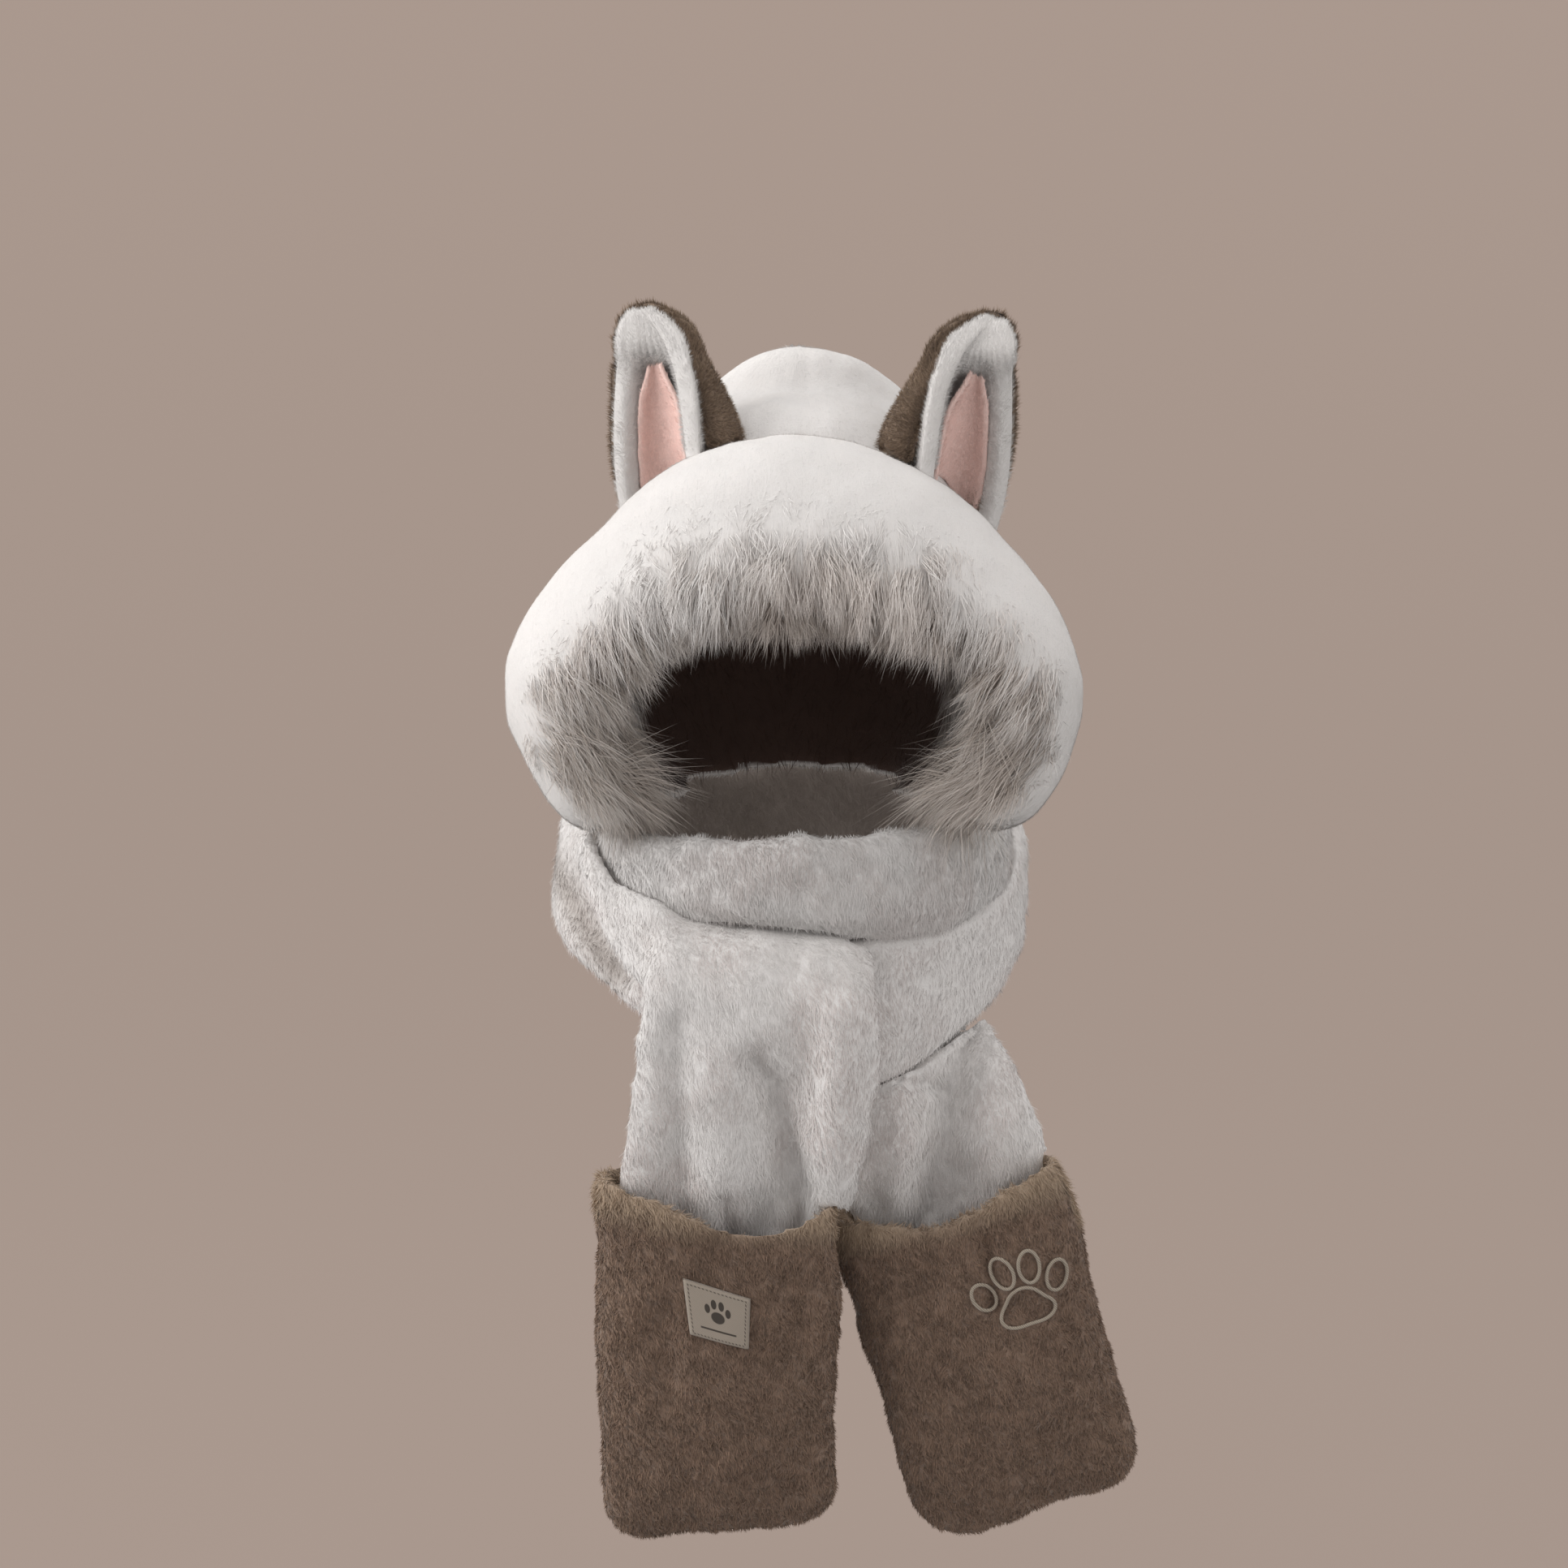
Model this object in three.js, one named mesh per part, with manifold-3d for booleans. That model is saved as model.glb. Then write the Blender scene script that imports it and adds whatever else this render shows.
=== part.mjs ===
// Plush animal hood scarf: a padded hood with two cupped ears and a long-pile brim, a scarf that turns once
// round the neck, and an open hand pocket on each hanging scarf end.
// Millimetres, +Z up, +X to the right of someone facing it, -Y towards them.
// The origin is where the top of the head meets the inside of the crown.
import * as THREE from "three";
import { mergeVertices } from "three/addons/utils/BufferGeometryUtils.js";
import Module from "manifold-3d";

const wasm = await Module();
wasm.setup();

// Driving dimensions, in millimetres.
const seamGap = 0.35; // between pieces that are sewn together or lie on each other
const hoodHeight = 290; // neck edge to the inside of the crown
const hoodWidth = 264; // inside, at its widest
const hoodDepth = 208; // inside, back to the shell's front edge
const hoodWall = 20; // two layers of plush, pile included
const crownLean = 10; // the crown slumps towards +X
const brimReach = 33; // from the hood's inner side out to the middle of the brim
const brimBreadth = 160; // along the forehead, seam to front edge
const brimThick = 44;
const lockLength = 19; // long pile at the brim's front edge
const lockBacking = 4;
const lockSeat = 2; // how far the backing starts below the brim's surface, before it is cut back to it
const earHeight = 122;
const earWidth = 96;
const earDepth = 44;
const earBackWall = 5;
const earLiningWall = 12; // at the ear's front edge, where the white pile is deep
const earLiningBack = 5; // at the bottom of the cup
const earInsetWall = 2.5;
const loopStand = 10; // from the hood's inner side out to the middle of the scarf that turns round it
const loopHeight = 92; // the scarf's height where it turns round the neck
const loopThick = 25;
const chinHeight = 66;
const chinThick = 27;
const armWidth = 46; // the scarf arm where it leaves the hood's corner
const armThick = 19;
const scarfWidth = 158; // a hanging end, laid flat by its own weight
const scarfThick = 21;
const hangLength = 230; // from under the chin band to the end inside the pocket
const sideLength = 165; // from under the neck loop to the end inside the pocket
const pocketWidth = 160;
const pocketHeight = 240;
const pocketDepth = 58; // outside, front to back at the mouth
const pocketCorner = 32;
const pocketWall = 8;
const labelWidth = 46;
const labelHeight = 34;
const labelThick = 1;

// What follows from them.
const brimSpan = hoodWidth + 2 * brimReach;
const neckRadius = hoodWidth / 2 + loopStand;
const neckAxisY = -0.216 * hoodDepth;
const scarfFront = neckRadius - neckAxisY; // origin to the middle of the scarf at the front

// Colours of the cloth, as shown.
const WHITE_PILE = new THREE.Color(0.86, 0.84, 0.82);
const FROST_PILE = new THREE.Color(0.8, 0.77, 0.74);
const BROWN_PILE = new THREE.Color(0.4, 0.33, 0.28);
const EAR_BROWN = new THREE.Color(0.36, 0.3, 0.23);
const PINK_PILE = new THREE.Color(0.82, 0.62, 0.58);
const LABEL_CREAM = new THREE.Color(0.76, 0.71, 0.65);

const point = (x, y, z) => new THREE.Vector3(x, y, z);
const mix = THREE.MathUtils.lerp;
const radians = THREE.MathUtils.degToRad;
const PLUMP = 0.8; // below 1 fills an oval's corners
const plump = (value) => Math.sign(value) * Math.abs(value) ** PLUMP;
const bell = (offset, spread) => Math.exp(-((offset / spread) ** 2));

// Reads a table's rows as smooth columns: t runs from 0 at the first row to 1 at the last, and a little past
// them.
function smooth(rows) {
  const last = rows.length - 1;
  const rowAt = (i) => rows[Math.min(Math.max(i, 0), last)];
  return (t) => {
    const place = t * last;
    const i = Math.min(Math.max(Math.floor(place), 0), last - 1);
    const f = place - i;
    const result = {};
    for (const key of Object.keys(rows[0])) {
      const [a, b, c, d] = [i - 1, i, i + 1, i + 2].map((n) => rowAt(n)[key]);
      const bend = 2 * a - 5 * b + 4 * c - d;
      const twist = 3 * (b - c) + d - a;
      result[key] = b + 0.5 * f * (c - a + f * (bend + f * twist));
    }
    return result;
  };
}

// A closed body through rings of equal size. Point k of a ring pairs with its last point but k across the
// ring, which is how its two ends are closed; a looped body has no ends.
function loft(rings, looped = false) {
  const count = rings[0].length;
  const positions = rings.flat().flatMap((p) => [p.x, p.y, p.z]);
  const faces = [];
  const spans = looped ? rings.length : rings.length - 1;
  for (let i = 0; i < spans; i++) {
    const here = i * count;
    const next = ((i + 1) % rings.length) * count;
    for (let k = 0; k < count; k++) {
      const k1 = (k + 1) % count;
      faces.push([here + k, here + k1, next + k1], [here + k, next + k1, next + k]);
    }
  }
  if (!looped) {
    const start = (k) => k % count;
    const end = (k) => (rings.length - 1) * count + (k % count);
    for (let k = 0; k < count / 2; k++) {
      const back = count - k;
      faces.push([start(k), start(back - 1), start(k + 1)], [start(k), start(back), start(back - 1)]);
      faces.push([end(k), end(k + 1), end(back - 1)], [end(k), end(back - 1), end(back)]);
    }
  }
  const solid = faces.filter(([a, b, c]) => a !== b && b !== c && c !== a);
  const geometry = new THREE.BufferGeometry();
  geometry.setAttribute("position", new THREE.Float32BufferAttribute(positions, 3));
  geometry.setIndex(signedVolume(positions, solid) < 0 ? solid.flatMap((f) => f.reverse()) : solid.flat());
  return geometry;
}

function signedVolume(positions, faces) {
  const corner = (i) => point(positions[3 * i], positions[3 * i + 1], positions[3 * i + 2]);
  return faces.reduce((sum, [a, b, c]) => sum + corner(a).dot(corner(b).cross(corner(c))) / 6, 0);
}

// A ring round an oval section: place(u, w) with u across its width and w through its thickness, -1 to 1.
function ovalRing(count, place) {
  return Array.from({ length: count }, (_, k) => {
    const angle = (2 * Math.PI * k) / count;
    return place(plump(Math.cos(angle)), plump(Math.sin(angle)));
  });
}

// A ring round a wall's section: place(s, side) with s along the wall from -1 to 1 and side 1 outside,
// 0 inside.
function wallRing(spans, place) {
  const along = Array.from({ length: spans + 1 }, (_, j) => -1 + (2 * j) / spans);
  const outside = along.map((s) => place(s, 1));
  const inside = along.map((s) => place(s, 0)).reverse();
  return [place(-1, 0.5), ...outside, place(1, 0.5), ...inside];
}

const steps = (count) => Array.from({ length: count + 1 }, (_, i) => i / count);
// The same stations, drawn out at both ends by grow on a body of about this length.
const stations = (count, grow, length) => steps(count).map((t) => mix(-grow / length, 1 + grow / length, t));

function named(name, geometry, color, roughness = 0.95) {
  const mesh = new THREE.Mesh(geometry, new THREE.MeshStandardMaterial({ color, roughness, metalness: 0 }));
  mesh.name = name;
  return mesh;
}

function toSolid(geometry, matrix) {
  const bare = new THREE.BufferGeometry();
  bare.setAttribute("position", geometry.getAttribute("position").clone());
  bare.setIndex(geometry.getIndex());
  const merged = mergeVertices(bare.applyMatrix4(matrix), 1e-4);
  return new wasm.Manifold(
    new wasm.Mesh({
      numProp: 3,
      vertProperties: merged.attributes.position.array,
      triVerts: new Uint32Array(merged.index.array),
    }),
  );
}

function toGeometry(solid) {
  const { vertProperties, triVerts } = solid.getMesh();
  const geometry = new THREE.BufferGeometry();
  geometry.setAttribute("position", new THREE.BufferAttribute(vertProperties, 3));
  geometry.setIndex(new THREE.BufferAttribute(triVerts, 1));
  return geometry;
}

// Cuts the mesh back from pieces that lie against it and keeps its largest piece. The cutting shapes are in
// the part's frame, already grown by the seam gap.
function trim(mesh, ...cutters) {
  mesh.updateWorldMatrix(true, false);
  const toLocal = mesh.matrixWorld.clone().invert();
  let solid = toSolid(mesh.geometry, new THREE.Matrix4());
  for (const cutter of cutters) solid = solid.subtract(toSolid(cutter, toLocal));
  const pieces = solid.decompose().sort((a, b) => b.volume() - a.volume());
  mesh.geometry = toGeometry(pieces[0]);
  return mesh;
}

// Hood shell: arches that turn up from the nape, over the crown and down to the forehead, as a pram hood's
// do. Depths are shares of hoodDepth, heights of hoodHeight above the neck edge, widths of hoodWidth and
// walls of hoodWall.
const HOOD_ARCHES = smooth([
  { footY: 0.02, topY: 0.2, topZ: 0.02, wide: 0.56, wall: 0.5 }, // nape
  { footY: 0.0, topY: 0.33, topZ: 0.26, wide: 0.74, wall: 1.0 },
  { footY: -0.05, topY: 0.375, topZ: 0.55, wide: 0.91, wall: 1.0 },
  { footY: -0.13, topY: 0.3, topZ: 0.82, wide: 0.93, wall: 1.1 },
  { footY: -0.2, topY: 0.15, topZ: 0.965, wide: 0.87, wall: 1.25 },
  { footY: -0.27, topY: 0.0, topZ: 1.0, wide: 0.84, wall: 1.3 }, // crown
  { footY: -0.34, topY: -0.235, topZ: 0.92, wide: 0.89, wall: 1.15 }, // roll in front of the crease
  { footY: -0.42, topY: -0.42, topZ: 0.85, wide: 0.94, wall: 1.0 },
  { footY: -0.52, topY: -0.6, topZ: 0.66, wide: 1.0, wall: 1.0 }, // edge under the brim
]);
const FOOT_TUCK = radians(26);
// Dents of the shell: at and long along the arches, across and broad from side to side, deep as a share of
// the wall.
const HOOD_DENTS = [
  { at: 0.7, long: 0.04, across: 0.05, broad: 0.5, deep: 0.5 }, // crease across the crown
  { at: 0.35, long: 0.32, across: 0.0, broad: 0.03, deep: 0.1 }, // centre seam down the back
  { at: 0.3, long: 0.06, across: -0.35, broad: 0.3, deep: 0.3 }, // slump folds at the back
  { at: 0.22, long: 0.05, across: 0.4, broad: 0.28, deep: 0.28 },
  { at: 0.16, long: 0.04, across: 0.05, broad: 0.4, deep: 0.22 },
];

function hoodBase(t, s) {
  const arch = HOOD_ARCHES(t);
  const angle = Math.PI / 2 + s * (Math.PI / 2 + FOOT_TUCK);
  const rise = (Math.sin(angle) + Math.sin(FOOT_TUCK)) / (1 + Math.sin(FOOT_TUCK));
  const x = (-Math.cos(angle) * arch.wide * hoodWidth) / 2 + crownLean * rise ** 2;
  return point(x, mix(arch.footY, arch.topY, rise) * hoodDepth, (arch.topZ * rise - 1) * hoodHeight);
}

// A point of the shell, offset from its inside face along the wall's normal.
function hoodPoint(t, s, offset) {
  const nudge = 0.004;
  const t0 = Math.min(Math.max(t, nudge), 1 - nudge);
  const s0 = Math.min(Math.max(s, nudge - 1), 1 - nudge);
  const along = hoodBase(t0 + nudge, s0).sub(hoodBase(t0 - nudge, s0));
  const across = hoodBase(t0, s0 + nudge).sub(hoodBase(t0, s0 - nudge));
  const normal = along.cross(across).normalize();
  const sunk = (sum, d) => sum + d.deep * bell(t - d.at, d.long) * bell(s - d.across, d.broad);
  const dent = hoodWall * HOOD_DENTS.reduce(sunk, 0);
  return hoodBase(t, s).addScaledVector(normal, offset - dent);
}

function hoodShell(grow = 0) {
  const past = 1 + grow / hoodHeight; // the neck edge grows too
  return loft(
    stations(18, grow, hoodHeight).map((t) => {
      const wall = hoodWall * HOOD_ARCHES(t).wall;
      return wallRing(17, (s, side) => hoodPoint(t, s * past, mix(-grow, wall + grow, side)));
    }),
  );
}

// Fur brim: a padded band from one chin corner over the forehead to the other. Places are shares of
// brimSpan / 2 across, hoodDepth out and hoodHeight above the neck edge; slope is how far the band faces up,
// in degrees, and crown how far it bulges, as a share of brimThick.
const BRIM_HALF = [
  { left: 0.0, right: 0.0, out: -0.72, up: 0.668, slope: 54, broad: 0.95, thick: 1.0, crown: 0.46 },
  { left: 0.33, right: 0.36, out: -0.72, up: 0.638, slope: 50, broad: 0.9, thick: 1.0, crown: 0.42 },
  { left: 0.6, right: 0.64, out: -0.715, up: 0.548, slope: 42, broad: 0.77, thick: 1.05, crown: 0.32 },
  { left: 0.82, right: 0.84, out: -0.7, up: 0.445, slope: 28, broad: 0.69, thick: 1.2, crown: 0.26 },
  { left: 0.935, right: 0.945, out: -0.68, up: 0.32, slope: 14, broad: 0.68, thick: 1.3, crown: 0.2 },
  { left: 0.875, right: 0.905, out: -0.665, up: 0.165, slope: 10, broad: 0.63, thick: 1.2, crown: 0.16 },
  { left: 0.72, right: 0.755, out: -0.65, up: 0.0, slope: 12, broad: 0.55, thick: 0.9, crown: 0.1 },
];
const sideOfBrim = (side) => (row) => ({ ...row, across: side * (side < 0 ? row.left : row.right) });
const BRIM = smooth([...BRIM_HALF.slice(1).reverse().map(sideOfBrim(-1)), ...BRIM_HALF.map(sideOfBrim(1))]);

const BRIM_ENDS = 0.07; // each end is rounded off over this share of the band's half length,
const BRIM_END_KEEPS = 0.316; // down to this share of its breadth and thickness
const BRIM_ROLL = 0.16; // the front edge is plumper than the middle by this share

function brimCentre(t) {
  const row = BRIM(t);
  return point((row.across * brimSpan) / 2, row.out * hoodDepth, (row.up - 1) * hoodHeight);
}

// A point of the brim at t along it: u runs from the seam, -1, to the front edge, 1, and w through the
// thickness.
function brimPoint(t, u, w, grow = 0) {
  const row = BRIM(t);
  const nudge = 0.01;
  const along = brimCentre(Math.min(t + nudge, 1)).sub(brimCentre(Math.max(t - nudge, 0)));
  const outward = point(-along.z, 0, along.x).normalize();
  const slope = radians(row.slope);
  const front = point(0, -Math.cos(slope), 0).addScaledVector(outward, -Math.sin(slope));
  const normal = point(0, -Math.sin(slope), 0).addScaledVector(outward, Math.cos(slope));
  const ending = THREE.MathUtils.clamp(1 + (Math.abs(2 * t - 1) - 1) / BRIM_ENDS, 0, 1);
  const round = Math.sqrt(1 - (1 - BRIM_END_KEEPS ** 2) * ending ** 2);
  const half = (row.broad * brimBreadth * round) / 2 + grow;
  const thick = (row.thick * brimThick * round * (1 + BRIM_ROLL * u)) / 2 + grow;
  const bulge = row.crown * brimThick * (1 - u * u);
  return brimCentre(t)
    .addScaledVector(front, u * half)
    .addScaledVector(normal, w * thick + bulge);
}

function furBrim(grow = 0) {
  return loft(stations(28, grow, brimSpan).map((t) => ovalRing(14, (u, w) => brimPoint(t, u, w, grow))));
}

// Face fringe: a backing along the brim's front edge, with a row of pointed locks that lean into the opening.
// from and to are places along the brim; the rest are shares of a lock's length.
const FRINGE = { from: 0.06, to: 0.94, locks: 22, between: 0.15, uneven: 0.2, forward: 0.1, droop: 0.25 };
const FRINGE_EDGES = [-62, -38, -12]; // round the brim's front edge from its outer face, in degrees

function faceFringe() {
  return loft(
    steps(2 * FRINGE.locks).map((share, i) => {
      const t = mix(FRINGE.from, FRINGE.to, share);
      const uneven = 1 - FRINGE.uneven * (1 - Math.sin(i * 2.4));
      const reach = lockLength * (i % 2 ? uneven : FRINGE.between);
      const edge = (angle, out) => {
        const [u, w] = [plump(Math.cos(angle)), plump(Math.sin(angle))];
        const base = brimPoint(t, u, w, seamGap);
        const away = brimPoint(t, u, w, seamGap + 1).sub(base).normalize();
        return base.addScaledVector(away, out);
      };
      const inner = FRINGE_EDGES.map((d) => edge(radians(d), -lockSeat));
      const [low, , high] = FRINGE_EDGES.map((d) => edge(radians(d), lockBacking));
      const tip = edge(radians(FRINGE_EDGES[1]), lockBacking + reach);
      tip.add(point(0, -FRINGE.forward * reach, -FRINGE.droop * reach));
      return [...inner, high.lerp(tip, FRINGE.between), tip, low.lerp(tip, FRINGE.between)];
    }),
  );
}

// Ears: cupped leaves, each a brown back, a white lining and a pink inset nested in one another.
// up is a share of earHeight above the ear's seat, half of earWidth / 2, deep of earDepth, aside of earWidth.
const EAR = smooth([
  { up: -0.14, half: 0.9, deep: 0.95, aside: 0.0 },
  { up: 0.05, half: 0.98, deep: 1.0, aside: 0.0 },
  { up: 0.24, half: 0.98, deep: 0.92, aside: 0.0 },
  { up: 0.43, half: 0.89, deep: 0.78, aside: 0.01 },
  { up: 0.62, half: 0.74, deep: 0.62, aside: 0.02 },
  { up: 0.8, half: 0.56, deep: 0.46, aside: 0.035 },
  { up: 0.93, half: 0.35, deep: 0.3, aside: 0.045 },
  { up: 1.0, half: 0.1, deep: 0.12, aside: 0.05 },
]);

const EAR_CORE = 0.1; // the least a layer's inner face keeps of the outline, near the tip
const EAR_EDGE = 5; // degrees that a layer's rounded front edge stands past its faces

// One layer of an ear: outer and inner are how far its two faces lie inside the ear's outline, at the sides
// and at the bottom of the cup.
function earLayer(lean, { low, high, spread, outer, inner, rows }, grow = 0) {
  const faces = { 0: inner.map((v) => v + grow), 1: outer.map((v) => v - grow) };
  faces[0.5] = faces[0].map((v, i) => (v + faces[1][i]) / 2);
  return loft(
    steps(rows).map((share) => {
      const row = EAR(mix(low, high, share));
      return wallRing(8, (s, side) => {
        const half = Math.max((row.half * earWidth) / 2 - faces[side][0], EAR_CORE * row.half * earWidth);
        const deep = Math.max(row.deep * earDepth - faces[side][1], EAR_CORE * row.deep * earDepth);
        const angle = s * radians(spread) + (side === 0.5 ? Math.sign(s) * radians(EAR_EDGE) : 0);
        const aside = lean * row.aside * earWidth;
        return point(half * Math.sin(angle) + aside, deep * Math.cos(angle), row.up * earHeight);
      });
    }),
  );
}

const EAR_SEAT = 1; // a layer starts this far inside the one it lies in, before it is cut back to it
const liningSeat = earBackWall - EAR_SEAT;
const liningSides = earBackWall + earLiningWall;
const liningBack = earBackWall + earLiningBack;
const EAR_LAYERS = {
  ear_back: { low: 0, high: 1, spread: 92, outer: [0, 0], inner: [earBackWall, earBackWall], rows: 8 },
  ear_lining: {
    low: 0,
    high: 0.93,
    spread: 96,
    outer: [liningSeat, liningSeat],
    inner: [liningSides, liningBack],
    rows: 8,
  },
  ear_inset: {
    low: 0.02,
    high: 0.72,
    spread: 74,
    outer: [liningSides - EAR_SEAT, liningBack - EAR_SEAT],
    inner: [liningSides + earInsetWall, liningBack + earInsetWall],
    rows: 5,
  },
};
// Seats of the ears: across and out in shares of hoodWidth and hoodDepth, up of hoodHeight, angles in
// degrees.
const EARS = [
  { side: "left", mirror: -1, across: -0.285, out: -0.46, up: 0.765, yaw: -32, roll: -8, pitch: 4 },
  { side: "right", mirror: 1, across: 0.375, out: -0.46, up: 0.755, yaw: 30, roll: 14, pitch: 4 },
];

// Chin band: under the face opening, from one chin corner to the other.
// turn is the angle round the neck from the front, in degrees; reach a share of neckRadius, up of hoodHeight
// below the crown, tall and thick of the band's own sizes.
const CHIN = smooth([
  { turn: -62, reach: 1.02, up: -1.05, tall: 0.42, thick: 0.7 },
  { turn: -44, reach: 1.06, up: -1.08, tall: 0.62, thick: 0.9 },
  { turn: -22, reach: 1.04, up: -1.094, tall: 0.84, thick: 1.0 },
  { turn: 2, reach: 1.03, up: -1.1, tall: 0.98, thick: 1.0 },
  { turn: 24, reach: 1.06, up: -1.108, tall: 1.12, thick: 1.05 },
  { turn: 44, reach: 1.1, up: -1.1, tall: 1.14, thick: 1.05 },
  { turn: 62, reach: 1.1, up: -1.07, tall: 0.95, thick: 0.9 },
  { turn: 78, reach: 1.06, up: -1.04, tall: 0.66, thick: 0.6 },
]);
// Neck loop: the scarf's whole turn round the neck, low at the front and high behind.
const LOOP = smooth([
  { turn: 0, reach: 1.0, up: -1.44, tall: 1.14, thick: 1.0 },
  { turn: 25, reach: 1.0, up: -1.4, tall: 1.2, thick: 1.0 },
  { turn: 50, reach: 1.06, up: -1.315, tall: 1.1, thick: 1.05 },
  { turn: 77, reach: 1.09, up: -1.225, tall: 1.0, thick: 1.05 },
  { turn: 105, reach: 1.07, up: -1.17, tall: 0.98, thick: 1.0 },
  { turn: 142, reach: 0.99, up: -1.135, tall: 0.94, thick: 1.0 },
  { turn: 180, reach: 0.94, up: -1.12, tall: 0.92, thick: 1.0 },
  { turn: 218, reach: 0.99, up: -1.135, tall: 0.94, thick: 1.0 },
  { turn: 255, reach: 1.07, up: -1.165, tall: 0.98, thick: 1.0 },
  { turn: 283, reach: 1.12, up: -1.185, tall: 0.92, thick: 1.05 },
  { turn: 308, reach: 1.08, up: -1.25, tall: 0.86, thick: 1.0 },
  { turn: 335, reach: 1.0, up: -1.36, tall: 0.94, thick: 0.95 },
  { turn: 360, reach: 1.0, up: -1.44, tall: 1.14, thick: 1.0 },
]);
// Creases that run along the loop: from and to in degrees of turn, at across its height, deep as a share of
// loopThick.
const LOOP_CREASES = [
  { from: 262, to: 322, at: 0.15, broad: 0.3, deep: 0.34 },
  { from: 20, to: 95, at: -0.35, broad: 0.25, deep: 0.14 },
  { from: 110, to: 250, at: 0.1, broad: 0.22, deep: 0.26 },
];

// A point of a band that goes round the neck: u across its height, 1 at the top, w through its thickness.
function bandPoint(row, height, thickness, u, w, grow, crease = 0) {
  const turn = radians(row.turn);
  const outward = point(Math.sin(turn), -Math.cos(turn), 0);
  const half = (row.tall * height) / 2 + grow;
  const thick = (row.thick * thickness) / 2 + grow;
  const away = row.reach * neckRadius + w * thick - (w > 0 ? crease * thickness : 0);
  return point(0, neckAxisY, row.up * hoodHeight + u * half).addScaledVector(outward, away);
}

function chinBand(grow = 0) {
  return loft(
    stations(15, grow, neckRadius).map((t) =>
      ovalRing(12, (u, w) => bandPoint(CHIN(t), chinHeight, chinThick, u, w, grow)),
    ),
  );
}

const CREASE_FADE = 11; // degrees either side of a crease's ends over which it fades

function loopCrease(turn, u) {
  return LOOP_CREASES.reduce((sum, c) => {
    const start = THREE.MathUtils.smoothstep(turn, c.from - CREASE_FADE, c.from + CREASE_FADE);
    const stop = 1 - THREE.MathUtils.smoothstep(turn, c.to - CREASE_FADE, c.to + CREASE_FADE);
    return sum + c.deep * start * stop * bell(u - c.at, c.broad);
  }, 0);
}

function neckLoop(grow = 0) {
  const rings = steps(32)
    .slice(0, -1)
    .map((t) => {
      const row = LOOP(t);
      const crease = (u) => loopCrease(row.turn, u);
      return ovalRing(12, (u, w) => bandPoint(row, loopHeight, loopThick, u, w, grow, crease(u)));
    });
  return loft(rings, true);
}

// A padded strip that hangs: rows give its middle in shares of hoodWidth across, scarfFront out and
// hoodHeight up, its width and thickness as shares of its own sizes, and how its width is turned: turn lifts
// its right end and yaw takes that end back, in degrees.
const stripMiddle = (row) => point(row.across * hoodWidth, row.out * scarfFront, row.up * hoodHeight);

const FOLD_EASE = 0.55; // how much of a fold is lost towards the strip's end
const FOLD_BACK = 0.45; // how much of it shows on the back

function stripPoint(rows, t, u, w, width, thickness, grow, folds) {
  const row = rows(t);
  const nudge = 0.02;
  const along = stripMiddle(rows(Math.min(t + nudge, 1))).sub(stripMiddle(rows(Math.max(t - nudge, 0))));
  const [turn, yaw] = [radians(row.turn), radians(row.yaw)];
  const side = point(Math.cos(turn) * Math.cos(yaw), Math.cos(turn) * Math.sin(yaw), Math.sin(turn));
  const normal = along.cross(side).normalize();
  const fold = folds.reduce((sum, f) => {
    const eased = 1 - FOLD_EASE * THREE.MathUtils.smoothstep(t, f.ease, 1);
    const shown = THREE.MathUtils.smoothstep(t, f.from, f.full) * eased;
    return sum + f.deep * shown * bell(u - f.at - f.drift * t, f.broad);
  }, 0);
  const depth = fold * thickness * (w > 0 ? 1 : FOLD_BACK);
  return stripMiddle(row)
    .addScaledVector(side, u * ((row.wide * width) / 2 + grow))
    .addScaledVector(normal, w * ((row.thick * thickness) / 2 + grow) - depth);
}

const strip = (rows, folds, width, thickness, rings, count) => (grow = 0) =>
  loft(
    stations(rings, grow, width).map((t) =>
      ovalRing(count, (u, w) => stripPoint(rows, t, u, w, width, thickness, grow, folds)),
    ),
  );

// Side fold: the scarf arm that comes down from the hood's corner and goes behind the front panel.
const SIDE_FOLD = smooth([
  { across: -0.455, out: -0.623, up: -1.02, wide: 0.9, thick: 0.8, turn: 10, yaw: 0 },
  { across: -0.45, out: -0.768, up: -1.09, wide: 1.0, thick: 1.0, turn: 22, yaw: 0 },
  { across: -0.415, out: -0.901, up: -1.17, wide: 1.05, thick: 1.0, turn: 34, yaw: 0 },
  { across: -0.335, out: -1.001, up: -1.26, wide: 1.05, thick: 1.0, turn: 44, yaw: 0 },
  { across: -0.25, out: -1.057, up: -1.33, wide: 0.8, thick: 0.7, turn: 50, yaw: 0 },
]);
const sideFold = strip(SIDE_FOLD, [], armWidth, armThick, 8, 10);

const PANEL_END = 0.6; // a panel's end is flattened to this share of its thickness

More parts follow.
